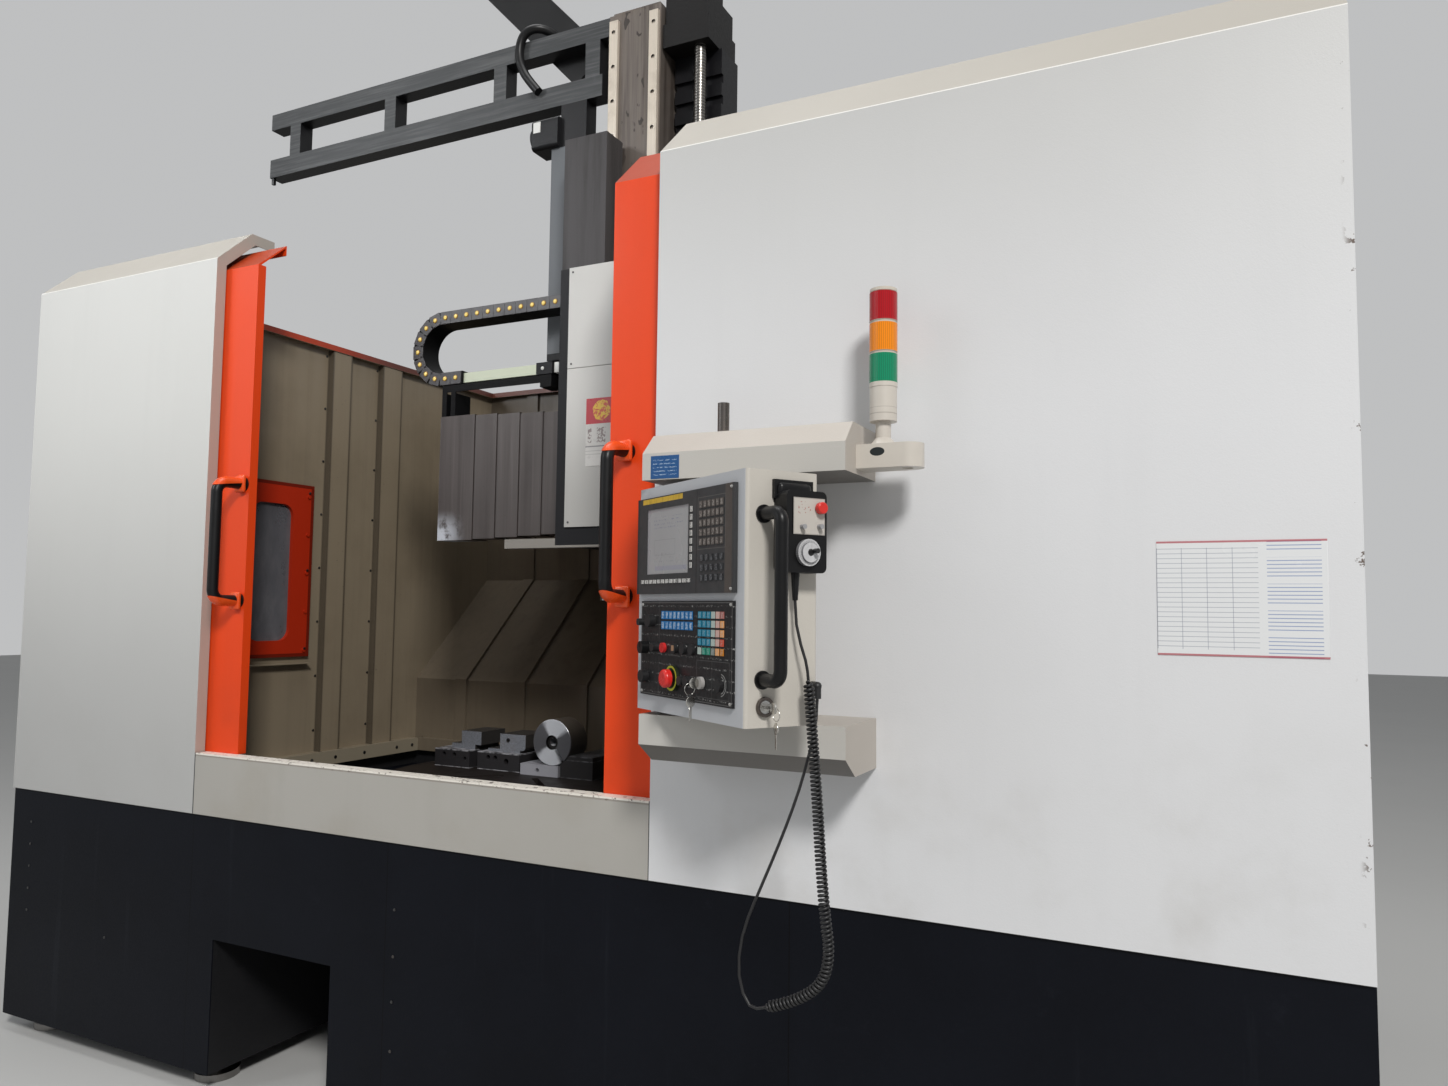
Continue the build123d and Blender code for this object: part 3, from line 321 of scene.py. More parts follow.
# %% Left cabinet and arms
grey_coat = powder_coat("grey_coat", (0.60, 0.60, 0.58))
# Below about 2.3 m the left cabinet's coat darkens towards the bottom: painted shade.
grey_coat.over(grey_coat.at.axes()[2].smooth(2.3, 1.0) * 0.8, (0.41, 0.41, 0.405))
shade_top_faces(grey_coat)
fold_highlight(grey_coat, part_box("left_cabinet")[1][2] - 0.127)
# Faces that look to the right are painted a darker beige: painted shade on the cabinet's return beside the
# door.
grey_coat.over(grey_coat.facing()[0] > 0.5, (0.40, 0.36, 0.32))
dress(grey_coat, "left_cabinet")
arm_coat = powder_coat("arm_coat", (0.45, 0.41, 0.365), wear=0.45)
# The arms' front faces get a lighter, cooler colour than the rest: painted light.
arm_coat.over(arm_coat.facing()[1] < -0.8, (0.49, 0.475, 0.445))
shaded_underside(arm_coat)
dress(arm_coat, "upper_arm", "lower_arm")

# %% [markdown]
# Folded panels meet at narrow dark joints. The sill's joints with both cabinets are drawn as dark
# narrow lines at the panel's own ends. Its top edge carries a painted highlight and has lost paint in chips.

# %% Sill with its joints
sill_coat = powder_coat("sill_coat", (0.40, 0.385, 0.355), wear=0.6)
x, y, z = sill_coat.at.axes()
(sill_x0, _, _), (sill_x1, _, sill_top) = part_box("sill_panel")
# The sill's top 5 mm is painted near white: a painted highlight along its top edge.
sill_coat.over(z > sill_top - 0.005, (0.80, 0.76, 0.69))
sill_coat.over(z.between(sill_top - 0.010, sill_top - 0.005) * 0.5, (0.20, 0.17, 0.14))
chips = sill_coat.at.noise(60.0, 5.0, 0.7).smooth(0.58, 0.62)
sill_coat.over(chips * (z > sill_top - 0.009), BARE_CHIP)
sill_coat.over((x < sill_x0 + 0.004) + (x > sill_x1 - 0.0025), (0.02, 0.02, 0.02))
dress(sill_coat, "sill_panel")

# %% [markdown]
# The right cabinet's outer edge has lost paint in a few places. The chips are kept to a narrow
# band beside the edge, so the band is a mask on x and the chips are noise inside it.

# %% Right cabinet
edge_coat = powder_coat("edge_chipped_coat", (0.68, 0.685, 0.70))
x, y, z = edge_coat.at.axes()
# The right cabinet's coat darkens towards the top: painted shade.
edge_coat.over(z.smooth(1.9, 3.1), (0.50, 0.50, 0.49))
band = x.smooth(2.095, 2.114) * (y < FRONT_Y + 0.05)
edge_coat.over(edge_coat.at.noise(16.0, 5.0, 0.65).smooth(0.625, 0.645) * band, BARE_CHIP)
shade_top_faces(edge_coat)
fold_highlight(edge_coat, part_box("right_cabinet")[1][2] - 0.139)
dress(edge_coat, "right_cabinet")

# %% [markdown]
# The doors are signal orange, and their upward faces are a darker orange: painted shade. The frame
# of the lamp window is a darker red, and a worn rim runs around its opening and its outside.

# %% Orange doors and lamp frame
RIM_WIDTH = 0.013
orange_dirt = (0.30, 0.04, 0.015)
orange_coat = powder_coat("orange_coat", (0.76, 0.060, 0.008), orange_dirt, 0.4, 0.36)
orange_coat.shine(0.3)
# Painted shade: the doors' upward faces get a darker orange.
shade_top_faces(orange_coat, (0.40, 0.045, 0.010))
dress(orange_coat, "left_door", "right_door")
frame_coat = powder_coat("lamp_frame_coat", (0.42, 0.024, 0.006), (0.12, 0.02, 0.008), 0.6)
frame_coat.shine(0.2)
x, y, z = frame_coat.at.axes()
(_, frame_y0, frame_z0), (frame_x1, frame_y1, frame_z1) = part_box("window_frame")
rim = (y < frame_y0 + RIM_WIDTH) + (y > frame_y1 - RIM_WIDTH)
rim = rim + (z < frame_z0 + RIM_WIDTH) + (z > frame_z1 - RIM_WIDTH)
frame_coat.over(rim.smooth(0.0, 0.5), (0.15, 0.011, 0.004))
dress(frame_coat, "window_frame")

# %% [markdown]
# ## Oily inner sheets
# Coolant runs down the inner walls and leaves vertical streaks. Noise that is stretched along z
# makes them. The walls are duller and darker than the outside. The strip over the left wall is
# orange that darkens towards the back, and the back wall's strip is nearly brown; both darkenings
# are painted shade, and height picks both strips. Below a brighter angle, the walls are painted
# near black: painted shade of the pit.


# %% Stained sheets
def stained_sheet(name, colour, stain, amount, roughness=0.4, metallic=0.0, streaks=0.25):
    coat = Finish(name, colour, roughness, metallic)
    runs = coat.at.stretched(26.0, 26.0, 0.9).noise(1.0, 5.0, 0.6, 0.3)
    cloud = coat.at.noise(2.2, 5.0, 0.6)
    mask = runs.smooth(0.42, 0.72) * streaks + cloud.smooth(0.4, 0.75) * (1 - streaks)
    coat.set("Base Color", (mask * amount).tint(colour, stain))
    spots = coat.at.noise(70.0, 4.0, 0.7).smooth(0.66, 0.72)
    coat.over(spots * 0.5, shade_of(stain, 0.55))
    coat.set("Roughness", runs.smooth(0.3, 0.8) * 0.25 + (roughness - 0.1))
    coat.bump(cloud + runs * streaks, 0.0006, 0.25)
    return coat


# %% Inner walls
WALL_FOOT = 0.926
ANGLE_TOP = 0.9785
STRIP_FOOT = 2.5535
FOOT_SHADE = (0.012, 0.012, 0.013)
wall_coat = stained_sheet("inner_wall_coat", (0.245, 0.200, 0.140), (0.13, 0.10, 0.065), 0.55)
x, y, z = wall_coat.at.axes()
# Thin dark lines along the ribs' edges are painted shadows of the ribs.
rib_edge_shadows = [abs(y - (FRONT_Y + edge)).smooth(0.010, 0.001) for edge in (0.638, 0.734, 0.905, 1.015)]
wall_coat.over(sum(rib_edge_shadows) * 0.75, (0.035, 0.028, 0.020))
# Below the angle the wall is painted near black: painted shade of the pit.
wall_coat.over(z < WALL_FOOT, FOOT_SHADE)
wall_coat.over(z.between(WALL_FOOT, ANGLE_TOP) * (x > -1.262), (0.26, 0.225, 0.165))
# The left strip darkens from orange to brown towards the back: painted shade.
towards_back = y.smooth(FRONT_Y + 0.55, FRONT_Y + 1.0)
wall_coat.over(z > STRIP_FOOT, towards_back.tint((0.42, 0.045, 0.014), (0.11, 0.030, 0.020)))
dress(wall_coat, "inner_left_wall")
# The back wall's sheet is darker than the left wall's, partly as painted shade of the deep back.
back_coat = stained_sheet("back_wall_coat", (0.155, 0.126, 0.090), (0.065, 0.049, 0.034), 0.6)
x, y, z = back_coat.at.axes()
# Below the angle the back wall is painted near black: painted shade of the pit.
back_coat.over(z < WALL_FOOT, FOOT_SHADE)
back_coat.over(z.smooth(2.05, 2.5) * 0.5, (0.045, 0.036, 0.028))
# The back wall's strip is nearly brown: painted shade.
back_coat.over(z > STRIP_FOOT, (0.13, 0.040, 0.027))
dress(back_coat, "back_wall")

# %% [markdown]
# The telescopic way covers are bright sheet under a dark film of oil and chips. They get the same
# stains with some metal in them, finer runs on top, and one pale patch at the lower left that is a
# painted glint.

# %% Way covers
cover_sheet = stained_sheet(
    "way_cover_sheet", (0.060, 0.050, 0.047), (0.022, 0.018, 0.017), 0.75, 0.40, 0.3, 0.45,
)
x, y, z = cover_sheet.at.axes()
fine_runs = cover_sheet.at.stretched(75.0, 75.0, 1.6).noise(1.0, 4.0, 0.6).smooth(0.52, 0.78)
cover_sheet.over(fine_runs * 0.40, (0.125, 0.110, 0.104))
# A pale bluish patch at the lower left: a painted glint on the sheet.
painted_glint = x.smooth(-0.43, -0.54) * z.smooth(1.88, 1.79) * cover_sheet.at.noise(30.0, 5.0).smooth(0.3, 0.55)
cover_sheet.over(painted_glint * 0.85, (0.55, 0.58, 0.63))
cover_sheet.bump(fine_runs, 0.0002, 0.15)
dress(cover_sheet, *["way_cover_%d" % index for index in range(5)])

# %% [markdown]
# ## Dark castings
# The skirt is nearly black with a satin sheen, a few panel seams and dried drips. The castings
# behind it are dark, rougher paint over cast iron.


# %% Casting paint
def casting_paint(name, colour, grain=60.0, roughness=0.5, depth=0.0015):
    coat = Finish(name, colour, roughness)
    cloud = coat.at.noise(3.0, 5.0, 0.6)
    skin = coat.at.noise(grain, 4.0, 0.6)
    worn = coat.at.noise(9.0, 6.0, 0.7).smooth(0.62, 0.75)
    coat.set("Base Color", (cloud.smooth(0.3, 0.8) * 0.6).tint(colour, shade_of(colour, 0.55)))
    coat.over(worn * 0.35, shade_of(colour, 1.6, 0.003))
    coat.shine(0.2)
    coat.set("Roughness", skin * 0.25 + (roughness - 0.12))
    coat.bump(skin + cloud * 0.5, depth, 0.4)
    return coat


# %% Skirt and castings
SEAM_HALF = 0.0015
skirt_coat = casting_paint("skirt_coat", (0.0045, 0.0055, 0.0090), 200.0, 0.45, 0.0006)
x, y, z = skirt_coat.at.axes()
drips = skirt_coat.at.stretched(14.0, 14.0, 0.8).noise(1.0, 5.0, 0.65).smooth(0.6, 0.8)
skirt_coat.over(drips * 0.35, (0.020, 0.023, 0.030))
seams = sum([abs(x - seam) < SEAM_HALF for seam in (-1.137, -0.30, 0.95)])
skirt_coat.over(seams * (y < FRONT_Y + 0.05), (0.002, 0.002, 0.003))
skirt_edge = (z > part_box("base_skirt")[1][2] - 0.0035) * (skirt_coat.facing()[1] < -0.5)
skirt_coat.over(skirt_edge * 0.6, (0.12, 0.115, 0.105))
skirt_coat.shine(0.10)
dress(skirt_coat, "base_skirt")
tray_paint = casting_paint("tray_paint", (0.004, 0.004, 0.0045), 120.0)
tray_paint.shine(0.1)
dress(tray_paint, "chain_tray")
dress(casting_paint("dark_iron", (0.014, 0.014, 0.0155)), "base_casting", "crossrail")
dress(casting_paint("column_paint", (0.20, 0.215, 0.23)), "column")
dress(casting_paint("bearing_paint", (0.0075, 0.0070, 0.0070), 90.0), "screw_block")
dress(casting_paint("motor_paint", (0.010, 0.0105, 0.012), 90.0, 0.4), "drive_motor")

# %% [markdown]
# The ladder frame is grey paint that is rubbed along its rails. Its undersides and right sides lie
# in shade and are nearly black, and so is the post below it.

# %% Ladder frame
ladder_paint = casting_paint("frame_paint", (0.058, 0.061, 0.064), 120.0, 0.38, 0.0008)
brushed = ladder_paint.at.stretched(3.5, 90.0, 90.0).noise(1.0, 4.0, 0.6).smooth(0.40, 0.75)
ladder_paint.over(brushed * 0.6, (0.125, 0.128, 0.130))
x, y, z = ladder_paint.facing()
ladder_paint.over((z < -0.5) + (x > 0.5), (0.010, 0.010, 0.011))
x, y, z = ladder_paint.at.axes()
ladder_paint.over((z < 3.2825) * (x > -0.151), (0.008, 0.008, 0.009))
dress(ladder_paint, "ladder_frame")

# %% [markdown]
# The saddle carries three finishes: black paint on the housing and the cover box, a blue-grey
# cheek plate on the left, and stained dark ribs above. Height and x tell them apart. Its light
# covers have a greenish strip, a dirtier low part and a wiper at the bottom, whose beige is
# darkened as painted shade.

# %% Saddle
CHEEK_X = -0.0455
WIPER_TOP = 1.79
saddle_coat = casting_paint("saddle_paint", (0.006, 0.006, 0.0075), 120.0, 0.45, 0.0008)
x, y, z = saddle_coat.at.axes()
saddle_coat.over((x < CHEEK_X) * (z > 2.41), (0.125, 0.134, 0.145))
ribs = (z > 2.643) * (y < FRONT_Y + 0.545) * (x > CHEEK_X)
rust = saddle_coat.at.stretched(20.0, 20.0, 1.4).noise(1.0, 5.0, 0.65).smooth(0.35, 0.75)
saddle_coat.over(ribs, (rust * 0.9).tint((0.064, 0.060, 0.062), (0.030, 0.028, 0.027)))
dress(saddle_coat, "saddle")
light_cover = powder_coat("saddle_cover_coat", (0.545, 0.54, 0.52), wear=0.5)
x, y, z = light_cover.at.axes()
light_cover.over(z.smooth(2.30, 1.85) * (z > WIPER_TOP) * 0.7, (0.27, 0.265, 0.25))
light_cover.over((x < -0.1) * (z > 2.2), (0.50, 0.54, 0.42))
# The wiper at the bottom is a darkened beige: painted shade.
light_cover.over(z < WIPER_TOP, (0.20, 0.185, 0.165))
dress(light_cover, "saddle_cover")

# %% [markdown]
# ## Bare metal
# Ground steel reflects in a soft line across the grinding direction. Fine noise stretched along
# the piece gives that, and dirt in it takes the metal's shine away.

# %% Ground steel
GRINDING = {"X": (4.0, 300.0, 300.0), "Y": (300.0, 4.0, 300.0), "Z": (300.0, 300.0, 4.0)}
BROWN_STAIN = (0.12, 0.08, 0.05)


def ground_steel(name, colour, along="Z", roughness=0.32, stain=BROWN_STAIN, amount=0.35, metal=1.0):
    steel = Finish(name, colour, roughness, 1.0)
    lines = steel.at.stretched(*GRINDING[along]).noise(1.0, 3.0, 0.5)
    dirt = steel.at.noise(7.0, 5.0, 0.65).smooth(0.5, 0.75) * amount
    steel.set("Base Color", dirt.tint(lines.tint(colour, shade_of(colour, 0.8)), stain))
    steel.set("Roughness", lines * 0.18 + dirt * 0.4 + (roughness - 0.09))
    steel.set("Metallic", (1.0 - dirt) * metal)
    steel.bump(lines, 0.0002, 0.25)
    return steel


# %% [markdown]
# The ram is dull iron with dark runs high up and spots of oil beside its right rail. The rails keep
# an ivory film of oil. Their faces that look neither straight to the front or back nor straight to
# a side, as the walls of the bolt bores do, are painted near black: painted shade in the bores.

# %% Ram and rails
ram_iron = ground_steel("ram_iron", (0.150, 0.126, 0.110), roughness=0.46, amount=0.4, metal=0.25)
x, y, z = ram_iron.at.axes()
ram_runs = ram_iron.at.stretched(34.0, 34.0, 1.3).noise(1.0, 4.0, 0.6).smooth(0.42, 0.66)
ram_iron.over(ram_runs * z.smooth(2.75, 3.35) * 0.8, (0.045, 0.034, 0.028))
oil_spots = ram_iron.at.stretched(1.0, 1.0, 0.5).noise(30.0, 2.0).smooth(0.60, 0.63)
oil_spots = oil_spots * x.between(0.10, 0.185) * z.smooth(2.85, 3.2)
ram_iron.over(oil_spots * 0.85, (0.020, 0.015, 0.012))
dress(ram_iron, "ram")
rail_film = ground_steel("rail_film", (0.64, 0.57, 0.48), roughness=0.36, amount=0.3, metal=0.2)
x, y, z = rail_film.facing()
# Faces that look neither straight to the front or back nor straight to a side are painted near black: painted
# shade in the bores.
bore_shade = abs(x).between(0.05, 0.95) + (abs(z) > 0.05)
rail_film.over(bore_shade.smooth(0.0, 0.5), (0.03, 0.026, 0.022))
dress(rail_film, "ram_rails")

# %% [markdown]
# The table is dark oily iron. The jaw boxes are oiled steel with bright worn edges, and the left
# box carries a hatched rest; the right box is painted darker as painted shade. The jaws are scraped
# steel with a fine mottle, and their tops and sides are painted dark: painted shade.

# %% Turret, table and jaws
table_iron = ground_steel("table_iron", (0.013, 0.0100, 0.0088), "X", 0.5, (0.008, 0.006, 0.005), 0.6, 0.0)
table_iron.shine(0.15)
dress(table_iron, "table")
box_steel = ground_steel("jaw_box_steel", (0.028, 0.0265, 0.0285), "X", 0.42, (0.013, 0.011, 0.010), 0.4, 0.1)
box_steel.shine(0.25)
x, y, z = box_steel.at.axes()
worn = z.between(1.0285, 1.0322) + z.between(0.9695, 0.9725) + z.between(1.042, 1.0455)
box_steel.over(worn * box_steel.at.noise(35.0, 4.0).smooth(0.35, 0.6), (0.34, 0.34, 0.36))
hatch = (x + z).lines(0.006, 0.35) + (x - z).lines(0.006, 0.35)
rest = x.between(-0.3125, -0.1555) * (z < 1.0085)
box_steel.over(rest, (hatch * 0.35).tint((0.36, 0.36, 0.39), (0.15, 0.15, 0.17)))
# The right jaw box is painted darker: painted shade.
box_steel.over((x > -0.151) * 0.7, (0.020, 0.018, 0.018))
dress(box_steel, "jaw_boxes")
jaw_steel = ground_steel("jaw_steel", (0.17, 0.18, 0.20), "Y", 0.34, amount=0.3, metal=0.3)
scraped = jaw_steel.at.stretched(1.0, 1.0, 2.0).noise(420.0, 2.0).smooth(0.40, 0.65)
jaw_steel.over(scraped * 0.6, (0.36, 0.38, 0.43))
x, y, z = jaw_steel.facing()
# The jaws' tops and sides are painted dark: painted shade.
jaw_steel.over((abs(z) + abs(x)).smooth(0.1, 0.6), (0.045, 0.042, 0.040))
dress(jaw_steel, "jaw_left", "jaw_right")
dress(ground_steel("turret_steel", (0.42, 0.41, 0.41), "X", amount=0.3), "turret")
dress(ground_steel("feet_steel", (0.30, 0.29, 0.28)), "levelling_feet")
dress(ground_steel("pin_steel", (0.16, 0.145, 0.135), roughness=0.25), "pivot_pin")

# %% [markdown]
# A turned face shows rings around its centre. The rings are a sine of the distance from the axis,
# which here runs along y. Light glints on it in two opposite wedges, which are painted into the
# colour, so the colour follows the angle. The outside behind the face is darker brown with a painted
# highlight along its top and painted shade below, and a dark groove lies around the bore.

# %% Turned work
WORK_X, WORK_Z = -0.184, 1.086
RINGS_PER_METRE = 5200.0
turned = Finish("turned_steel", (0.62, 0.62, 0.63), 0.3, 0.4)
x, y, z = turned.at.axes()
dx, dz = x - WORK_X, z - WORK_Z
from_axis = off_centre(dx, dz)
rings = (from_axis * RINGS_PER_METRE).wave()
sweep = dz.math("ARCTAN2", dz, dx)
glint = ((sweep * 2.0 - 1.15).math("SINE") + turned.at.noise(60.0, 3.0) * 0.5).smooth(0.05, 0.75)
turned.set("Base Color", glint.tint((0.11, 0.11, 0.12), (0.66, 0.68, 0.72)))
# The outside behind the face is brown, lighter at its top and darker below: painted highlight and painted
# shade.
outside = z.smooth(1.09, 1.15).tint((0.045, 0.040, 0.036), (0.16, 0.135, 0.11))
turned.over((y > FRONT_Y + 0.6385) * (from_axis > 0.070), outside)
turned.over(from_axis.between(0.013, 0.0245), (0.020, 0.019, 0.019))
turned.set("Roughness", rings * 0.1 + 0.24)
turned.bump(rings, 0.00015, 0.3)
dress(turned, "workpiece")

# %% [markdown]
# The ball screws show their thread in the same way along their own axis. The share of each turn
# tells groove from crest: the darker middle of each turn is painted shade in the groove, and the
# lighter rest is a painted highlight on the crest.


# %% Screw threads
def screw_thread(name, axis, pitch):
    steel = Finish(name, (0.48, 0.46, 0.43), 0.3, 1.0)
    # The darker middle of each turn is painted shade in the groove, the lighter rest a painted highlight on
    # the crest.
    groove = abs(steel.at.axes()["XYZ".index(axis)].share(pitch) - 0.5).smooth(0.12, 0.3)
    steel.set("Base Color", groove.tint((0.10, 0.094, 0.088), (0.20, 0.19, 0.175)))
    steel.patchy(40.0, 0.2, 0.22)
    steel.bump(groove, 0.0005, 0.4)
    return steel


dress(screw_thread("upright_thread", "Z", 0.010), "z_ball_screw")
dress(screw_thread("cross_thread", "X", 0.020), "x_ball_screw")

# %% [markdown]
# ## Plastics
# Moulded plastic has a faint, even grain and a film that dulls it in patches. The lock's plate is
# bright steel, and only its roughness varies.


# %% Plastics
def moulded(name, colour, roughness=0.45, grain=500.0):
    plastic = Finish(name, colour, roughness)
    skin = plastic.at.noise(grain, 2.0)
    film = plastic.at.noise(12.0, 4.0).smooth(0.4, 0.8)
    plastic.set("Base Color", (film * 0.3).tint(colour, shade_of(colour, 0.75, 0.003)))
    plastic.set("Roughness", film * 0.12 + skin * 0.1 + (roughness - 0.1))
    plastic.bump(skin, 0.0003, 0.3)
    return plastic


black_plastic = moulded("black_plastic", (0.006, 0.006, 0.0065), 0.4)
dress(black_plastic, "feed_knob", "cable_duct", "left_handle", "right_handle")
grip_black = moulded("grip_black", (0.005, 0.005, 0.0055), 0.36)
dress(grip_black, "grab_handle")
run_black = moulded("chain_run_black", (0.004, 0.004, 0.0045), 0.5)
dress(run_black, "energy_chain")
for plastic, level in ((black_plastic, 0.25), (grip_black, 0.25), (run_black, 0.1)):
    plastic.shine(level)
dress(moulded("button_red", (0.62, 0.025, 0.018), 0.3), "red_button")
dress(moulded("stop_red", (0.62, 0.022, 0.018), 0.3), "e_stop")
lock_steel = Finish("lock_plate", (0.72, 0.71, 0.69), 0.18, 1.0)
lock_steel.patchy(60.0, 0.2, 0.12)
dress(lock_steel, "cam_lock")

# %% [markdown]
# The signal tower stands on an ivory stem with thin grey rings and one oval hole, which is only a
# near-black patch of painted shade. Its lamps are green, amber and red from below, picked by
# height. They are ribbed inside, and the ribs' darker and lighter fine upright bands are painted
# reflections in their colour. The bands are a sine of the angle around the tower.

# %% Signal tower
TOWER_X, TOWER_Y = 1.211, FRONT_Y - 0.105
LAMP_RIBS = 44.0
tower_ivory = moulded("tower_ivory", (0.565, 0.525, 0.47), 0.35)
x, y, z = tower_ivory.at.axes()
ring_lines = z.between(1.9755, 1.9775) + z.between(1.9895, 1.9905) + z.between(2.1035, 2.1050)
tower_ivory.over(ring_lines * 0.6, (0.25, 0.22, 0.19))
# The oval hole is only a near-black patch: painted shade inside the hole.
oval = off_centre((x - 1.208) / 0.0165, (z - 1.890) / 0.0095) < 1.0
tower_ivory.over(oval * (y < FRONT_Y - 0.13), (0.008, 0.012, 0.013))
dress(tower_ivory, "tower_stand")
lamps = Finish("tower_lamps", (0.6, 0.1, 0.05), 0.16)
x, y, z = lamps.at.axes()
around = y.math("ARCTAN2", y - TOWER_Y, x - TOWER_X)
ribs = (around * LAMP_RIBS).wave()
lamps.set("Base Color", (z > 2.1125).tint((0.003, 0.26, 0.125), (0.92, 0.27, 0.006)))
lamps.over(z > 2.1815, (0.44, 0.003, 0.010))
# The ribs' darker bands in the lamps' colour are painted reflections.
lamps.over(ribs * 0.35, (0.02, 0.01, 0.01))
lamps.over((z > 2.249) + z.between(2.1095, 2.1155) + z.between(2.1785, 2.1845), (0.56, 0.51, 0.44))
lamps.set("Coat Weight", 0.15)
lamps.shine(0.25)
lamps.bump(ribs, 0.0006, 0.4)
dress(lamps, "tower_lenses")

# %% [markdown]
# ## Panes
# The panes are thin and a little greasy. Haze in smeared patches makes them more opaque and duller
# there. The lamp window's pane is hazier and more opaque than the doors' panes.


# %% Panes
def greasy_pane(name, colour, roughness, smear_from, haze, clear, smoothest):
    pane = Finish(name, colour, roughness)
    smear = pane.at.stretched(3.0, 3.0, 1.2).noise(3.0, 5.0, 0.65).smooth(smear_from, 0.8)
    pane.set("Alpha", smear * haze + clear)
    pane.set("Roughness", smear * 0.25 + smoothest)
    pane.material.surface_render_method = "BLENDED"
    return pane, smear


door_pane, _ = greasy_pane("greasy_pane", (0.20, 0.205, 0.20), 0.08, 0.4, 0.25, 0.55, 0.06)
dress(door_pane, "left_window", "right_window")
lamp_pane, smear = greasy_pane("lamp_pane", (0.15, 0.15, 0.165), 0.12, 0.35, 0.15, 0.75, 0.08)
lamp_pane.set("Base Color", smear.tint((0.125, 0.125, 0.138), (0.19, 0.19, 0.205)))
dress(lamp_pane, "window_glass")

# %% [markdown]
# ## Panels of the pendant
# Keys stand 2 mm proud of the plates. A mask of the depth picks the keys, and boxes on the plate
# pick their colours. The pendant hangs turned, so the masks first turn the coordinates back.
# A `Panel` holds these turned coordinates of one finish.


# %% Pendant coordinates
class Panel:
    def __init__(self, finish):
        x, y, z = finish.at.axes()
        dx = x - PIVOT[0]
        dy = y - (PIVOT[1] + FRONT_Y)
        cosine, sine = math.cos(PENDANT_TURN), math.sin(PENDANT_TURN)
        self.finish = finish
        self.across = dx * cosine + dy * sine
        self.depth = dy * cosine - dx * sine
        self.up = z

    def box(self, x0, x1, z0, z1):
        return self.across.between(x0, x1) * self.up.between(z0, z1)

    def frame(self, x0, x1, z0, z1, width):
        inner = self.box(x0 + width, x1 - width, z0 + width, z1 - width)
        return self.box(x0, x1, z0, z1) - inner

    def marks(self, x0, x1, z0, z1, columns, rows):
        u = abs((self.across - x0).share((x1 - x0) / columns) - 0.5)
        v = abs((self.up - z0).share((z1 - z0) / rows) - 0.5)
        return (u < 0.26) * (v < 0.30) * self.finish.at.noise(330.0, 2.0).smooth(0.44, 0.52)

    def radius(self, x, z):
        return off_centre(self.across - x, self.up - z)


def clouded(finish, first, second):
    return (finish.at.noise(9.0, 4.0).smooth(0.4, 0.8) * 0.4).tint(first, second)


print("panel helpers ready")

# %% [markdown]
# The display unit is dark foil. Brown square keys, black round keys and a pale column of keys
# stand proud. The strip over the screen is a plain yellow bar with a few faint specks.

# %% Display unit
SIDE_KEYS_END = 0.16
DISPLAY_FACE = -0.1628
display = Finish("display_foil", (0.016, 0.017, 0.019), 0.36)
panel = Panel(display)
across, up = panel.across, panel.up
keys = (display.at.noise(160.0, 2.0)).tint((0.060, 0.052, 0.047), (0.090, 0.078, 0.070))
keys = (panel.marks(0.178, 0.282, 1.675, 1.774, 6, 5) * 0.8).tint(keys, (0.30, 0.27, 0.25))
round_marks = panel.marks(0.182, 0.284, 1.599, 1.662, 5, 3)
round_keys = (round_marks * 0.35).tint((0.012, 0.013, 0.015), (0.30, 0.31, 0.33))
keys = ((across > SIDE_KEYS_END) * (up < 1.668)).tint(keys, round_keys)
side_marks = panel.marks(0.138, 0.151, 1.629, 1.767, 1, 8)
side_keys = (side_marks * 0.7).tint((0.58, 0.57, 0.55), (0.10, 0.10, 0.10))
keys = (across < SIDE_KEYS_END).tint(keys, side_keys)
display.set("Base Color", clouded(display, (0.036, 0.037, 0.039), (0.050, 0.050, 0.051)))
display.over(across.between(0.285, 0.312), (0.072, 0.060, 0.053))
display.over(across.between(0.166, 0.1685), (0.006, 0.006, 0.006))
display.over(across < -0.108, (0.020, 0.021, 0.022))
bar = panel.box(-0.092, 0.103, 1.7850, 1.7965)
specks = display.at.stretched(1.0, 1.0, 0.3).noise(160.0, 2.0).smooth(0.48, 0.6) * 0.25
display.over(bar, (0.62, 0.40, 0.045))
display.over(bar * specks, (0.20, 0.12, 0.02))
display.over(panel.frame(0.1715, 0.2875, 1.669, 1.780, 0.0014) * 0.6, (0.14, 0.13, 0.12))
display.over(panel.depth < DISPLAY_FACE, keys)
display.patchy(40.0, 0.2, 0.34)
display.shine(0.3)
display.bump(display.at.noise(500.0), 0.0002, 0.25)
dress(display, "display_unit")

# %% [markdown]
# The screen shows a pale page. Rows of short dashes stand for its text, and they are noise that
# is cut into lines, so nothing can be read.

# %% Screen
page = Finish("screen_face", (0.27, 0.27, 0.28), 0.25)
panel = Panel(page)
rows = panel.up.lines(0.0085, 0.35) * page.at.noise(190.0, 2.0).smooth(0.50, 0.56)
page.set("Base Color", page.at.noise(7.0, 3.0).tint((0.315, 0.315, 0.322), (0.375, 0.375, 0.382)))
page.over(panel.frame(-0.034, 0.066, 1.664, 1.700, 0.0012) * 0.4, (0.12, 0.12, 0.13))
page.over(panel.box(-0.040, 0.100, 1.722, 1.752) * rows * 0.6, (0.13, 0.14, 0.24))
page.over(panel.box(-0.030, 0.060, 1.645, 1.668) * rows * 0.35, (0.13, 0.13, 0.16))
page.over(panel.box(-0.030, 0.120, 1.630, 1.640) * 0.45, (0.24, 0.245, 0.34))
page.over(((panel.across < -0.055) + (panel.up > 1.764)) * 0.25, (0.28, 0.24, 0.28))
page.patchy(6.0, 0.15, 0.22)
dress(page, "screen")

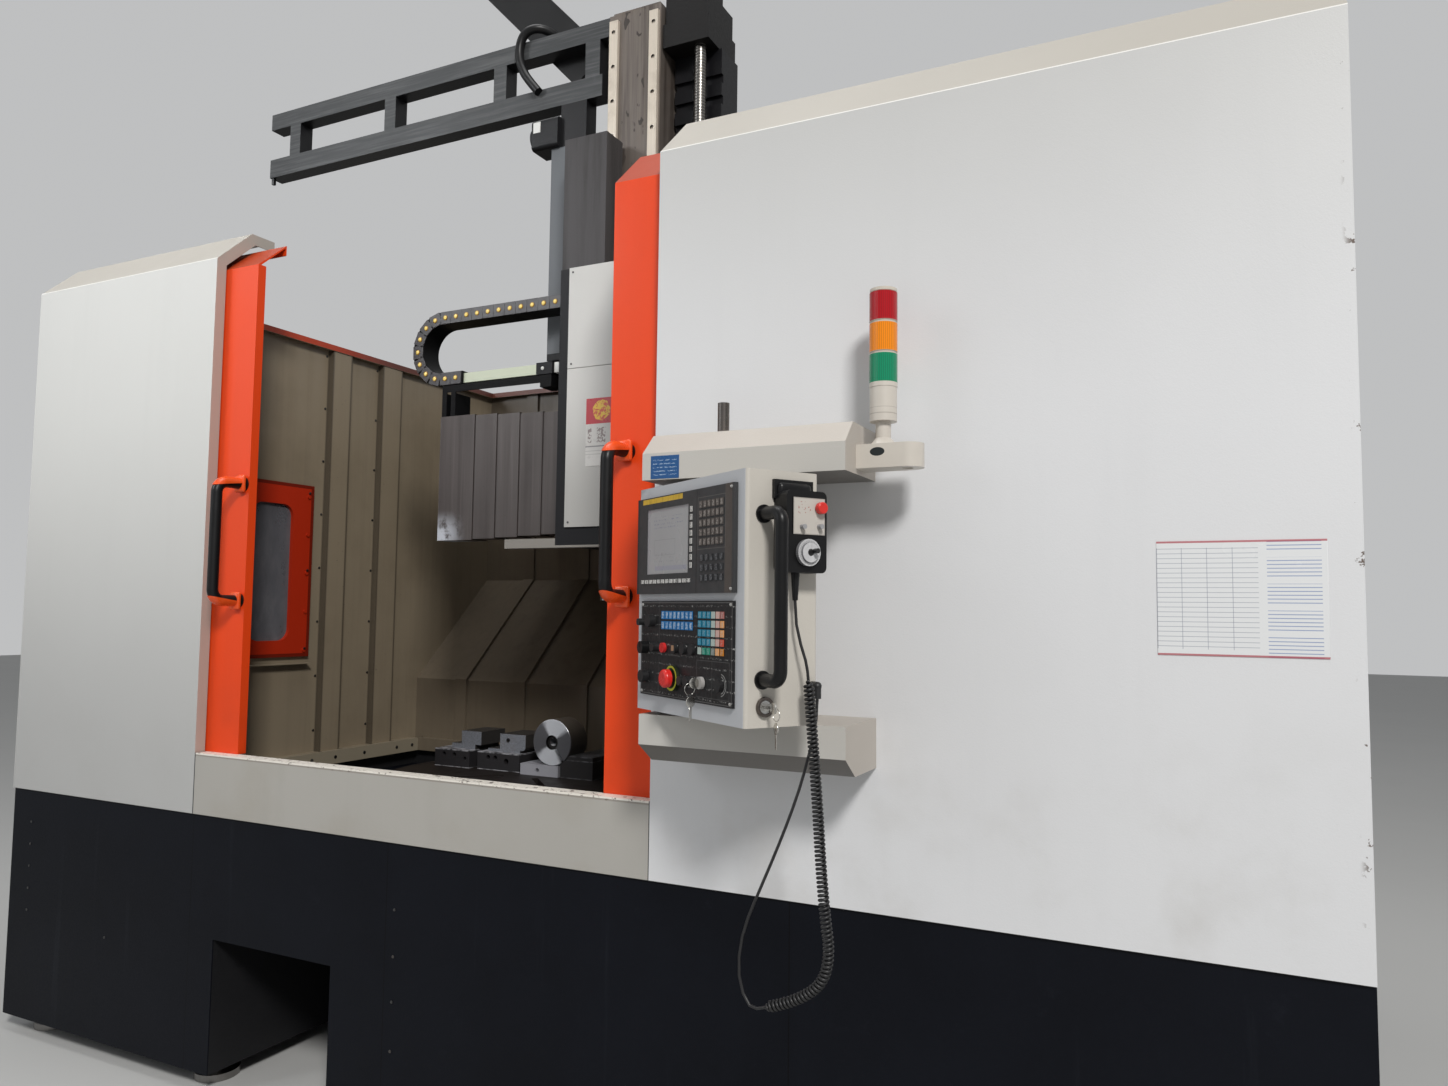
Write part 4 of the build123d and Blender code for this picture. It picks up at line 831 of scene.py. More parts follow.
# %% [markdown]
# The operator panel has a blue field of keys at the left and six coloured columns at the right.
# Below them are a red button, a small lamp, the stop button's yellow-green collar and the key
# switch with two arcs around it. Thin pale lines part the fields, and a pale line around the
# plate's border is a painted highlight on its edge.

# %% Keys and buttons of the operator panel
KEYS_TOP = 1.543
LAST_ROW_TOP = 1.466
LAST_COLUMN = 0.264
LEFT_KEYS_END = 0.16
KEY_COLUMNS = (0.172, 0.283)
operator = Finish("operator_foil", (0.018, 0.018, 0.019), 0.4)
panel = Panel(operator)
across, up = panel.across, panel.up
fine = operator.at.noise(120.0, 2.0)
teal, green, pale = (0.015, 0.21, 0.33), (0.02, 0.26, 0.18), (0.42, 0.50, 0.46)
pink, orange, red = (0.62, 0.38, 0.33), (0.76, 0.36, 0.14), (0.58, 0.085, 0.045)
left_marks = panel.marks(0.004, 0.152, 1.496, 1.541, 8, 2)
left_keys = fine.tint((0.018, 0.12, 0.34), (0.03, 0.20, 0.46))
left_keys = (left_marks * 0.8).tint(left_keys, (0.50, 0.58, 0.66))
dull, rust_red = (0.20, 0.22, 0.20), (0.55, 0.20, 0.02)
last_row = across.bands(*KEY_COLUMNS, [pale, green, green, dull, orange, rust_red])
right_keys = across.bands(*KEY_COLUMNS, [teal, teal, teal, pale, pink, orange])
right_keys = ((across > LAST_COLUMN) * up.between(LAST_ROW_TOP, 1.484)).tint(right_keys, red)
right_keys = ((across > LAST_COLUMN) * (up > 1.522)).tint(right_keys, (0.40, 0.15, 0.13))
right_keys = (up < LAST_ROW_TOP).tint(right_keys, last_row)
right_marks = panel.marks(*KEY_COLUMNS, 1.447, 1.541, 6, 5)
right_keys = (right_marks * 0.35).tint(right_keys, (0.45, 0.50, 0.50))
knobs = fine.tint((0.012, 0.012, 0.013), (0.020, 0.020, 0.021))
knobs = panel.box(0.008, 0.033, 1.444, 1.470).tint(knobs, (0.52, 0.022, 0.022))
knobs = panel.box(0.066, 0.078, 1.452, 1.464).tint(knobs, (0.34, 0.20, 0.12))
knobs = panel.box(0.178, 0.206, 1.376, 1.404).tint(knobs, (0.34, 0.33, 0.32))
from_stop = panel.radius(0.066, 1.392)
collar = from_stop.between(0.0225, 0.0275).tint((0.010, 0.016, 0.006), (0.40, 0.42, 0.040))
knobs = (from_stop < 0.029).tint(knobs, collar)
key_zone = panel.box(0.003, 0.153, 1.494, KEYS_TOP) + panel.box(0.171, 0.284, 1.446, KEYS_TOP)
raised = key_zone.tint(knobs, (across > LEFT_KEYS_END).tint(left_keys, right_keys))
print("keys and buttons coloured")

# %% Plate of the operator panel
LOWER_FIELD_TOP = 1.437
OPERATOR_FACE = -0.1588
operator.set("Base Color", clouded(operator, (0.012, 0.012, 0.013), (0.022, 0.021, 0.021)))
# The outer frame line is a painted highlight along the plate's edge; the other lines are print.
print_lines_and_edge_highlight = panel.frame(-0.095, 0.311, 1.350, 1.558, 0.0016) * 0.7
print_lines_and_edge_highlight = print_lines_and_edge_highlight + panel.frame(0.167, 0.302, 1.36, LOWER_FIELD_TOP, 0.0009) * 0.6
print_lines_and_edge_highlight = print_lines_and_edge_highlight + across.between(-0.0065, -0.0055) * 0.4
print_lines_and_edge_highlight = print_lines_and_edge_highlight + across.between(0.2315, 0.2325) * (up < LOWER_FIELD_TOP) * 0.4
operator.over(print_lines_and_edge_highlight, (0.15, 0.15, 0.15))
words = operator.at.noise(300.0, 1.0).smooth(0.60, 0.64) * up.lines(0.0215, 0.18)
operator.over(words * 0.7, (0.42, 0.42, 0.41))
from_switch = panel.radius(0.267, 1.390)
arcs = (from_switch.between(0.0165, 0.0180) + from_switch.between(0.0215, 0.0230)) * (across > 0.270)
operator.over(arcs * 0.8, (0.45, 0.45, 0.44))
operator.over(panel.depth < OPERATOR_FACE, raised)
operator.set("Roughness", fine.smooth(0.3, 0.8) * 0.2 + 0.36)
operator.shine(0.25)
operator.bump(operator.at.noise(500.0), 0.0002, 0.25)
dress(operator, "operator_panel")

# %% [markdown]
# The pendant's box has the cabinets' powder coat, a greyer, cooler left side that is painted shade,
# and a black gland on its right. The handset is black plastic with a cream plate on its front, a
# few red marks and pale toggles, which stand further out than the plate.

# %% Pendant box and handset
PLATE_X = 0.3963
pendant_coat = powder_coat("pendant_coat", (0.53, 0.50, 0.45), wear=0.3)
# The left side's greyer, cooler colour is painted shade.
pendant_coat.over(pendant_coat.facing()[0] < -0.3, (0.50, 0.515, 0.54))
shaded_underside(pendant_coat)
pendant_coat.over(Panel(pendant_coat).across > 0.3515, (0.010, 0.010, 0.011))
dress(pendant_coat, "pendant_box")
handset_skin = moulded("handset_black", (0.006, 0.006, 0.0065), 0.4)
handset_skin.shine(0.25)
panel = Panel(handset_skin)
across, depth, up = panel.across, panel.depth, panel.up
outer = (across > PLATE_X) * depth.between(-0.0718, 0.0048) * up.between(1.6942, 1.7678)
inner = (across > PLATE_X) * depth.between(-0.0698, 0.0028) * up.between(1.6962, 1.7658)
handset_skin.over(outer, (0.50, 0.47, 0.43))
handset_skin.over((outer - inner) * 0.5, (0.22, 0.20, 0.19))
red_marks = handset_skin.at.noise(190.0, 1.0).smooth(0.62, 0.66)
red_marks = red_marks * depth.between(-0.060, -0.030) * up.between(1.735, 1.760)
handset_skin.over(red_marks * 0.8, (0.30, 0.04, 0.04))
handset_skin.over(across > 0.3985, (0.30, 0.30, 0.31))
dress(handset_skin, "handset")

# %% [markdown]
# The handwheel is a grey dial with a hundred ticks near its rim, a thin ring inside them, a dark hub
# and a black crank knob. The ticks repeat with the angle, and the knurl on the rim is a bump that
# follows the angle too.

# %% Handwheel
TICKS = 100
RIM_X = 0.4055
wheel = Finish("wheel_dial", (0.5, 0.5, 0.5), 0.3)
panel = Panel(wheel)
across, du, dv = panel.across, panel.up - 1.658, panel.depth + 0.038
radius = off_centre(du, dv)
angle = du.math("ARCTAN2", du, dv)
ticks = ((angle * (TICKS / 2 / math.pi)).math("FRACT") < 0.25) * radius.between(0.0205, 0.0245)
wheel.set("Base Color", wheel.at.noise(90.0, 3.0).tint((0.40, 0.40, 0.41), (0.62, 0.62, 0.63)))
wheel.over(ticks, (0.10, 0.10, 0.10))
wheel.over(radius.between(0.0195, 0.0203), (0.20, 0.20, 0.21))
wheel.over(radius < 0.0072, (0.012, 0.012, 0.012))
wheel.over(across > 0.4115, (0.014, 0.014, 0.014))
wheel.over(across < RIM_X, (0.22, 0.22, 0.23))
wheel.patchy(90.0, 0.15, 0.25)
wheel.bump((angle * 40.0).math("SINE") * (across < 0.4060), 0.0006, 0.5)
dress(wheel, "handwheel")

# %% [markdown]
# ## Cord of the handset
# One cable leaves the handset's strain relief, turns into a tight curly length that hangs beside
# the pendant, swings round at the bottom and climbs back to the gland. The curly part is a helix
# around the route. The route itself is a smooth curve through a few chosen points, so the helix
# is wound around the points of that curve.

# %% Cord route
coil_route = [
    place(1134, -352, 1405), place(1152, -350, 1200), place(1167, -354, 990),
    place(1187, -352, 846), place(1120, -350, 780), place(1045, -350, 757),
]
lead_route = [
    on_pendant(374, -50, 1563), on_pendant(374, -50, 1510),
    place(1130.94, -352.34, 1439.86), place(1134, -352, 1405),
]
return_route = [
    place(1045, -350, 757), place(1010.8, -350, 746.5), place(983, -347, 806), place(990, -345, 888),
    place(1020, -343, 962), place(1052, -340, 1036), place(1083, -337, 1112), place(1108, -330, 1185),
    place(1125, -321, 1255), on_pendant(371, 8, 1322), on_pendant(371, 8, 1366),
]
CABLE = 0.0062


def smooth_line(name, points, depth, steps):
    data = bpy.data.curves.new(name, "CURVE")
    data.dimensions = "3D"
    data.bevel_depth = depth
    data.bevel_resolution = 3
    data.resolution_u = steps
    data.use_fill_caps = True
    spline = data.splines.new("NURBS")
    spline.points.add(len(points) - 1)
    for point, spot in zip(spline.points, points):
        point.co = (*spot, 1)
    spline.order_u = 3
    spline.use_endpoint_u = True
    line = bpy.data.objects.new(name, data)
    scene.collection.objects.link(line)
    return line


def line_points(line):
    mesh = bpy.data.meshes.new_from_object(line)
    spots = [vertex.co.copy() for vertex in mesh.vertices]
    bpy.data.meshes.remove(mesh)
    return spots


def line_length(spots):
    return sum((b - a).length for a, b in zip(spots, spots[1:]))


guide = smooth_line("coil_guide", coil_route, 0.0, 40)
guide_points = line_points(guide)
bpy.data.objects.remove(guide)
coil_run = line_length(guide_points)
print("coil run", round(coil_run, 3))

# %% [markdown]
# The helix is a point that circles the route while it moves along it. Its radius grows over the
# first turns and shrinks over the last, so the coil runs smoothly into both straight ends.

# %% Curly cord
TURN_PITCH = 0.0084
COIL_RADIUS = 0.0087
STEPS_PER_TURN = 12
END_TURNS = 1.5


def along(spots, run):
    for a, b in zip(spots, spots[1:]):
        step = (b - a).length
        if run <= step:
            return a.lerp(b, run / step), (b - a).normalized()
        run -= step
    return spots[-1], (spots[-1] - spots[-2]).normalized()


turns = coil_run / TURN_PITCH
helix = []
count = int(turns * STEPS_PER_TURN)
for step in range(count + 1):
    spot, heading = along(guide_points, coil_run * step / count)
    across_line = heading.cross(Vector((0, 1, 0))).normalized()
    out_line = heading.cross(across_line)
    angle = 2 * math.pi * step / STEPS_PER_TURN
    ends = min(step, count - step) / (STEPS_PER_TURN * END_TURNS)
    reach = COIL_RADIUS * min(1.0, ends)
    helix.append(spot + (across_line * math.cos(angle) + out_line * math.sin(angle)) * reach)
cord_points = lead_route[:-1] + helix + return_route[1:]
cord = smooth_line("handset_cord", cord_points, CABLE / 2, 2)
cord_length = line_length(line_points(smooth_line("cord_measure", cord_points, 0.0, 4)))
bpy.data.objects.remove(bpy.data.objects["cord_measure"])
cord_skin = moulded("cord_rubber", (0.010, 0.010, 0.011), 0.45, 300.0)
cord.data.materials.append(cord_skin.material)
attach(cord, "pendant")
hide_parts("curly_cord", "cord_upper_lead", "cord_return")
print("cord length", round(cord_length, 3), "turns", round(turns, 1))

# %% [markdown]
# ## Modelling helpers
# New pieces start as a primitive and are shaped in edit mode. These helpers keep the steps short:
# clear the selection, open a new primitive for editing, weld what was spun and turn its faces
# outwards, leave smooth faces with crisp edges, and seat the finished piece so that its object lies
# at the origin. Deleting loose points also clears the selection. Rounded blocks and domed discs are
# the shapes that small parts start from.

# %% Modelling helpers
CRISP = math.radians(40)
WELD = 0.00005
UPRIGHT = {"X": (0, math.pi / 2, 0), "Y": (math.pi / 2, 0, 0), "Z": (0, 0, 0)}


def nothing_selected():
    if bpy.context.object and bpy.context.object.mode != "OBJECT":
        bpy.ops.object.mode_set(mode="OBJECT")
    bpy.ops.object.select_all(action="DESELECT")


def edit_all():
    bpy.ops.object.transform_apply(location=True, rotation=True, scale=True)
    bpy.ops.object.mode_set(mode="EDIT")
    bpy.ops.mesh.select_all(action="SELECT")


def welded():
    bpy.ops.mesh.select_all(action="SELECT")
    bpy.ops.mesh.remove_doubles(threshold=WELD)
    bpy.ops.mesh.normals_make_consistent(inside=False)
    bpy.ops.object.mode_set(mode="OBJECT")


def smoothed():
    bpy.ops.object.shade_smooth_by_angle(angle=CRISP)
    return bpy.context.object


def seated(name, finish, body, slot, matrix=None):
    piece = bpy.context.object
    piece.name = name
    piece.data.name = name
    bpy.ops.object.transform_apply(location=True, rotation=True, scale=True)
    if matrix is not None:
        piece.data.transform(matrix)
    piece.data.materials.clear()
    piece.data.materials.append(finish.material)
    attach(piece, body)
    return piece


def rounded_block(low, high, radius, segments=2):
    nothing_selected()
    low, high = Vector(low), Vector(high)
    bpy.ops.mesh.primitive_cube_add(size=1, location=(low + high) / 2)
    bpy.context.object.scale = high - low
    edit_all()
    bpy.ops.mesh.bevel(offset=radius, segments=segments)
    bpy.ops.object.mode_set(mode="OBJECT")
    return smoothed()


def domed_disc(centre, radius, height, axis, bevel, sides):
    nothing_selected()
    bpy.ops.mesh.primitive_cylinder_add(
        vertices=sides, radius=radius, depth=height, location=centre, rotation=UPRIGHT[axis],
    )
    edit_all()
    bpy.ops.mesh.bevel(offset=bevel, segments=2)
    bpy.ops.object.mode_set(mode="OBJECT")
    return smoothed()


def joined(objects):
    nothing_selected()
    for obj in objects:
        obj.select_set(True)
    bpy.context.view_layer.objects.active = objects[0]
    bpy.ops.object.join()
    return bpy.context.object


def bare_copy(source, matrix):
    twin = source.copy()
    twin.data = source.data.copy()
    twin.data.transform(matrix)
    scene.collection.objects.link(twin)
    return twin


print("modelling helpers ready")

# %% [markdown]
# ## Door handles
# Each handle is a black grip whose ends turn towards the door under orange caps. The solid gives
# the black tube. A cap is a slightly wider tube: a ring is pulled along the leg, spun round the
# corner and pulled down the grip, and a slanting cut opens it below, where the black shows.

# %% Handle caps
CAP_RADIUS = 0.0195
CAP_WALL = 0.002
LEG_RUN = 0.052
GRIP_RUN = 0.024


def handle_cap(x, leg_z, inwards):
    nothing_selected()
    bpy.ops.mesh.primitive_circle_add(
        vertices=20, radius=CAP_RADIUS, fill_type="NGON", location=place(x, 30, leg_z),
        rotation=(math.pi / 2, 0, 0),
    )
    edit_all()
    bpy.ops.mesh.extrude_region_move(TRANSFORM_OT_translate={"value": (0, -LEG_RUN, 0)})
    bpy.ops.mesh.spin(
        steps=8, angle=-math.pi / 2 * inwards, center=place(x, -22, leg_z - 36 * inwards),
        axis=(1, 0, 0),
    )
    bpy.ops.mesh.extrude_region_move(TRANSFORM_OT_translate={"value": (0, 0, -GRIP_RUN * inwards)})
    bpy.ops.mesh.select_all(action="SELECT")
    bpy.ops.mesh.bisect(
        plane_co=place(x, 30, leg_z + 3 * inwards), plane_no=(0, -0.15, inwards),
        clear_inner=True,
    )
    welded()
    shell = bpy.context.object.modifiers.new("thickness", "SOLIDIFY")
    shell.thickness = CAP_WALL
    shell.offset = -1
    bpy.ops.object.modifier_apply(modifier="thickness")
    return smoothed()


cap_coat = moulded("cap_orange", (0.80, 0.085, 0.012), 0.28)
for name, body, x in (("left", "left_door", -1012), ("right", "right_door", 463)):
    low_leg, high_leg = [round(corner[2] * 1000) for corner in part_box(name + "_handle")]
    for end, leg_z, inwards in (("upper", high_leg - 25, 1), ("lower", low_leg + 25, -1)):
        handle_cap(x, leg_z, inwards)
        seated("%s_%s_cap" % (name, end), cap_coat, body, "door_%s_paint" % name)
        low_z, high_z = sorted((leg_z - 27 * inwards, leg_z + 30 * inwards))
        rounded_block(place(x - 22, 20, low_z), place(x + 22, 33.9, high_z), 0.006, 3)
        seated("%s_%s_foot" % (name, end), cap_coat, body, "door_%s_paint" % name)
print("handle caps made")

# %% [markdown]
# The handset hangs from a rounded black block on the pendant's side.

# %% Handset hanger
rounded_block((0.3512, -0.086, 1.769), (0.371, -0.006, 1.800), 0.009, 3)
seated("handset_hanger", grip_black, "pendant", "handset_plastic", pendant_matrix())
print("handset hanger made")

# %% [markdown]
# ## Cable chain
# The chain is a row of equal links. One side plate is a thin block with rounded edges and one
# pivot cap is a short yellow disc. Both are made once and copied along the run: the straight
# upper part, the half circle and the short lower part.

# %% Chain links
LINK = 0.0466
LOOP = place(-563, 462, 2445)
LOOP_R = 0.1085
CHAIN_END = 0.0325
LOWER_RUN = 0.080
link_dark = moulded("link_black", (0.040, 0.038, 0.041), 0.45)
cap_rim = moulded("cap_rim", (0.34, 0.17, 0.012), 0.4)
cap_yellow = moulded("cap_yellow", (0.86, 0.66, 0.18), 0.35)
rounded_block((-0.0232, -0.0030, -0.0222), (0.0232, 0.0005, 0.0222), 0.0010, 1)
plate = seated("chain_plate", link_dark, "saddle", "chain_plastic")
domed_disc((0, -0.0036, 0), 0.0088, 0.0020, "Y", 0.0006, 14)
rim = seated("chain_rim", cap_rim, "saddle", "chain_plastic")
domed_disc((0, -0.0048, 0), 0.0066, 0.0022, "Y", 0.0009, 12)
dot = seated("chain_cap", cap_yellow, "saddle", "chain_plastic")


upper_run = CHAIN_END - LOOP.x
bend_run = math.pi * LOOP_R


def chain_spot(run):
    if run < upper_run:
        return Vector((CHAIN_END - run, LOOP.y, LOOP.z + LOOP_R)), 0.0
    if run < upper_run + bend_run:
        angle = (run - upper_run) / LOOP_R
        spot = Vector((-math.sin(angle), 0, math.cos(angle))) * LOOP_R + LOOP
        return spot, -angle
    return Vector((LOOP.x + run - upper_run - bend_run, LOOP.y, LOOP.z - LOOP_R)), math.pi


links_made = round((upper_run + bend_run + LOWER_RUN) / LINK)
for index in range(links_made):
    spot, angle = chain_spot(LINK * (index + 0.5))
    seat = Matrix.Translation(spot) @ Matrix.Rotation(angle, 4, "Y")
    for source, name in ((plate, "chain_plate"), (rim, "chain_rim"), (dot, "chain_cap")):
        twin = bare_copy(source, seat)
        twin.name = "%s_%d" % (name, index)
        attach(twin, "saddle")
for source in (plate, rim, dot):
    bpy.data.objects.remove(source)
print("links", links_made)

# %% [markdown]
# ## Small plates and tags
# The photo's labels are replaced by plain ones: a red panel with a yellow patch over a pale one on
# the saddle cover, a blue plate on the upper arm, a chart with an empty grid on the right cabinet
# and a pale tag on the drive motor. Each one is a thin block with broken edges.


# %% Plates
def flat_plate(name, low, high, finish, body, slot):
    rounded_block(low, high, 0.0004, 1)
    seated(name, finish, body, slot)
    print(name, "made")


# %% [markdown]
# The sign's patch is a wobbly disc: noise is added to the distance from its middle before the edge
# is cut. Bars and dashes stand for its lines, and they spell nothing.

# %% Saddle sign
sign = Finish("sign_print", (0.42, 0.02, 0.025), 0.35)
x, y, z = sign.at.axes()
patch = off_centre(x - 0.134, z - 2.166) + sign.at.noise(60.0, 3.0) * 0.016 < 0.040
strokes = sign.at.noise(75.0, 2.0, 0.5, 1.5).smooth(0.50, 0.54)
yellow = strokes.tint((0.66, 0.42, 0.035), (0.50, 0.07, 0.03))
red = patch.tint((0.40, 0.018, 0.030), yellow)
pale = sign.at.noise(20.0).tint((0.50, 0.49, 0.47), (0.56, 0.55, 0.53))
figures = z.between(2.064, 2.112) * (x.between(0.084, 0.098) + x.between(0.118, 0.150))
figures = figures * sign.at.noise(120.0, 2.0).smooth(0.47, 0.51)
pale = (figures * 0.75).tint(pale, (0.13, 0.08, 0.08))
bars = z.between(2.0505, 2.0545) + z.between(2.018, 2.046) * z.lines(0.0105, 0.22) * 0.5
pale = (bars * 0.8).tint(pale, (0.14, 0.14, 0.15))
sign.set("Base Color", (z > 2.124).tint(pale, red))
sign.patchy(30.0, 0.2, 0.25)
flat_plate("saddle_sign", place(76, 416, 1990), place(323, 417.4, 2206), sign, "saddle", "cover_paint")

# %% [markdown]
# The blue plate has pale broken rows, and the chart is a grid with a column of small boxes between
# two red borders. Both are made of lines at a fixed pitch, so they stay sharp at any distance.

# %% Blue plate and chart
blue = Finish("blue_plate", (0.02, 0.13, 0.42), 0.35)
x, y, z = blue.at.axes()
dashes = blue.at.stretched(1.0, 1.0, 3.0).noise(150.0, 1.0).smooth(0.46, 0.52)
rows = z.lines(0.0085, 0.30) * dashes
inner = x.between(0.688, 0.751) * z.between(1.848, 1.893)
blue.set("Base Color", (rows * inner * 0.7).tint((0.008, 0.070, 0.215), (0.35, 0.45, 0.58)))
blue.patchy(30.0, 0.2, 0.25)
flat_plate("arm_plate", place(682, -211, 1845), place(757, -209.6, 1899), blue, "machine", "arm_paint")

chart = Finish("chart_sheet", (0.70, 0.71, 0.72), 0.3)
x, y, z = chart.at.axes()
left_part = x < 1.940
grid = (z.lines(0.0098, 0.14) + (x - 1.756).lines(0.046, 0.03)) * left_part * z.between(1.475, 1.678)
boxes = z.share(0.052).between(0.12, 0.88) * x.between(1.955, 2.048) * z.lines(0.0075, 0.25)
chart.set("Base Color", (grid * 0.7).tint((0.72, 0.73, 0.74), (0.30, 0.32, 0.38)))
chart.over(boxes * 0.7, (0.12, 0.20, 0.42))
chart.over(((z < 1.466) + (z > 1.688)) * 0.8, (0.40, 0.05, 0.07))
chart.patchy(6.0, 0.15, 0.15)
chart_low, chart_high = place(1756, -1.5, 1462), place(2058, 0.4, 1692)
flat_plate("chart_plate", chart_low, chart_high, chart, "machine", "cabinet_right_paint")

# %% [markdown]
# Pale plastic makes the motor's tag, the chain's connector on the cover box and the clamp's cap.

# %% Tag, connector and clamp cap
tag = moulded("pale_tag", (0.60, 0.60, 0.58), 0.4)
flat_plate("motor_tag", place(-252, 538.6, 3192), place(-222, 540.4, 3230), tag, "saddle", "motor_paint")
rounded_block(place(-94.5, 474, 2319), place(-66, 532, 2355), 0.003)
seated("chain_connector", tag, "saddle", "cover_paint")
domed_disc(place(-134, 465.2, 2336), 0.006, 0.0024, "Y", 0.0008, 12)
seated("clamp_cap", tag, "saddle", "saddle_paint")

# %% [markdown]
# ## Screws
# Small screw heads hold the skirt's sheets, the lamp window's frame, the inner wall, the saddle's
# covers and the pendant's panels. One domed head is made for each direction and copied to a list
# of spots, and the copies are joined to one piece.

# %% Screw heads
screw_dark = ground_steel("screw_dark", (0.10, 0.10, 0.10), "Z", 0.4)
screw_light = ground_steel("screw_light", (0.45, 0.44, 0.42), "Z", 0.35)


def screw_heads(name, spots, radius, axis, finish, body, slot):
    first = domed_disc((0, 0, 0), radius, 0.003, axis, 0.001, 10)
    heads = [bare_copy(first, Matrix.Translation(spot)) for spot in spots]
    bpy.data.objects.remove(first)
    joined(heads)
    seated(name, finish, body, slot)
    print(name, len(spots))


skirt_spots = [place(-2008, 7.5, z) for z in (750, 672, 594, 516, 439)]
skirt_spots += [place(-1562, 7.5, 407)] + [place(-268, 7.5, z) for z in (676, 545, 419, 283)]
screw_heads("skirt_screws", skirt_spots, 0.0045, "Y", screw_dark, "machine", "skirt")
frame_spots = [Vector((frame_x1 + 0.0003, y, z)) for y in (frame_y0 + 0.024, frame_y1 - 0.024)
               for z in (frame_z0 + 0.03, (frame_z0 + frame_z1) / 2, frame_z1 - 0.03)]
screw_heads("frame_screws", frame_spots, 0.0055, "X", screw_dark, "machine", "lamp_frame")
angle_spots = [place(-1254.5, y, 952) for y in (330, 460, 585, 700, 850, 1030, 1120)]
screw_heads("angle_screws", angle_spots, 0.007, "X", screw_dark, "machine", "inner_wall")
rib_spots = [place(-1299, y, z) for y in (625, 747, 893, 1028) for z in range(1060, 2540, 210)]
screw_heads("rib_screws", rib_spots, 0.005, "X", screw_dark, "machine", "inner_wall")
cover_spots = [place(x, 416.5, z) for x in (14, 416) for z in (1815, 2325, 2625)]
screw_heads("cover_screws", cover_spots, 0.0035, "Y", screw_dark, "saddle", "cover_paint")
panel_spots = [on_pendant(x, -158.5, z) for x in (-90, 306) for z in (1355, 1553)]
panel_spots += [on_pendant(311, -162.5, z) for z in (1585, 1791)]
screw_heads("panel_screws", panel_spots, 0.0035, "Y", screw_light, "pendant", "operator_foil")

# %% [markdown]
# ## Hooked conduit
# A black conduit comes out from behind the ladder frame, turns over the upper rail and ends at the
# lower rail. It is drawn as a short curve with a round section and turned into a mesh.

# %% Conduit
hook_points = [
    place(-205, 632, 3560), place(-222, 600, 3582), place(-262, 556, 3590), place(-312, 545, 3570),
    place(-330, 545, 3505), place(-310, 545, 3435), place(-270, 546, 3380), place(-240, 548, 3345),
]
conduit = smooth_line("hooked_conduit", hook_points, 0.016, 8)
nothing_selected()
conduit.select_set(True)
bpy.context.view_layer.objects.active = conduit
bpy.ops.object.convert(target="MESH")
smoothed()
seated("hooked_conduit", black_plastic, "saddle", "duct_plastic")
print("conduit made")

# %% [markdown]
# ## Lock ring and keys
# The cam lock sits in a turned ring. Its section is a small plane with rounded corners, which is
# moved out to its radius and spun around the axis.


# %% Lock ring
def turned_ring(centre, inner, outer, depth, bevel):
    nothing_selected()
    bpy.ops.mesh.primitive_plane_add(size=1, location=(0, 0, 0))
    bpy.context.object.scale = (depth, outer - inner, 1)
    edit_all()
    bpy.ops.mesh.bevel(offset=bevel, segments=2, affect="VERTICES")
    bpy.ops.mesh.select_all(action="SELECT")
    bpy.ops.transform.translate(value=(depth / 2, (inner + outer) / 2, 0))
    bpy.ops.mesh.spin(steps=28, angle=2 * math.pi, center=(0, 0, 0), axis=(1, 0, 0))
    bpy.ops.mesh.select_all(action="SELECT")
    bpy.ops.mesh.remove_doubles(threshold=WELD)
    bpy.ops.mesh.delete_loose()
    bpy.ops.object.mode_set(mode="OBJECT")
    smoothed().data.transform(Matrix.Translation(centre))


lock_ring_steel = ground_steel("lock_ring_steel", (0.14, 0.12, 0.11), "X", 0.3, amount=0.3)
turned_ring((0.351, -0.107, 1.352), 0.0138, 0.0200, 0.0085, 0.0018)
seated("lock_ring", lock_ring_steel, "pendant", "lock_chrome", pendant_matrix())
print("lock ring made")

# %% [markdown]
# A key sits in the panel's key switch and one in the cam lock. Each has a second key on its ring.
# A key is a flat bow with a blade, both cut from discs and blocks, and the ring is a thin torus.

# %% Keys
key_steel = ground_steel("key_steel", (0.62, 0.60, 0.56), "Z", 0.25, amount=0.2)


def flat_key():
    bow = domed_disc((0, 0, 0), 0.0115, 0.002, "X", 0.0005, 20)
    blade = rounded_block((-0.001, -0.0035, -0.040), (0.001, 0.0035, -0.009), 0.0004, 1)
    return joined([bow, blade])


def key_pair(name, lock_spot, outwards, body, slot, tilt):
    in_lock = flat_key()
    in_lock.data.transform(Matrix.Rotation(math.pi / 2, 4, "X"))
    in_lock.data.transform(Matrix.Translation((0, -0.010, 0)))
    nothing_selected()
    bpy.ops.mesh.primitive_torus_add(
        location=(0, -0.020, -0.012), rotation=(0, math.pi / 2, 0),
        major_radius=0.012, minor_radius=0.0009, major_segments=20, minor_segments=6,
    )
    ring = bpy.context.object
    bpy.ops.object.transform_apply(location=True, rotation=True, scale=True)
    second = flat_key()
    second.data.transform(Matrix.Translation((0.003, -0.022, -0.038)))
    second.data.transform(Matrix.Rotation(math.radians(tilt), 4, "Z"))
    joined([in_lock, ring, second])
    made = smoothed()
    made.data.transform(Matrix.Rotation(outwards, 4, "Z"))
    made.data.transform(Matrix.Translation(Vector(lock_spot) / 1000))
    seated(name, key_steel, body, slot, pendant_matrix())


key_pair("switch_keys", (192, -167, 1390), 0.0, "pendant", "lock_chrome", 8)
key_pair("lock_keys", (375, -107, 1352), math.pi / 2, "pendant", "lock_chrome", -12)
print("keys hang")

# %% [markdown]
# ## Studio
# A plain pale floor and a pale world. The camera, reflections and panes see a brighter backdrop
# than the world that lights, so the machine stands before a light ground without being washed out.

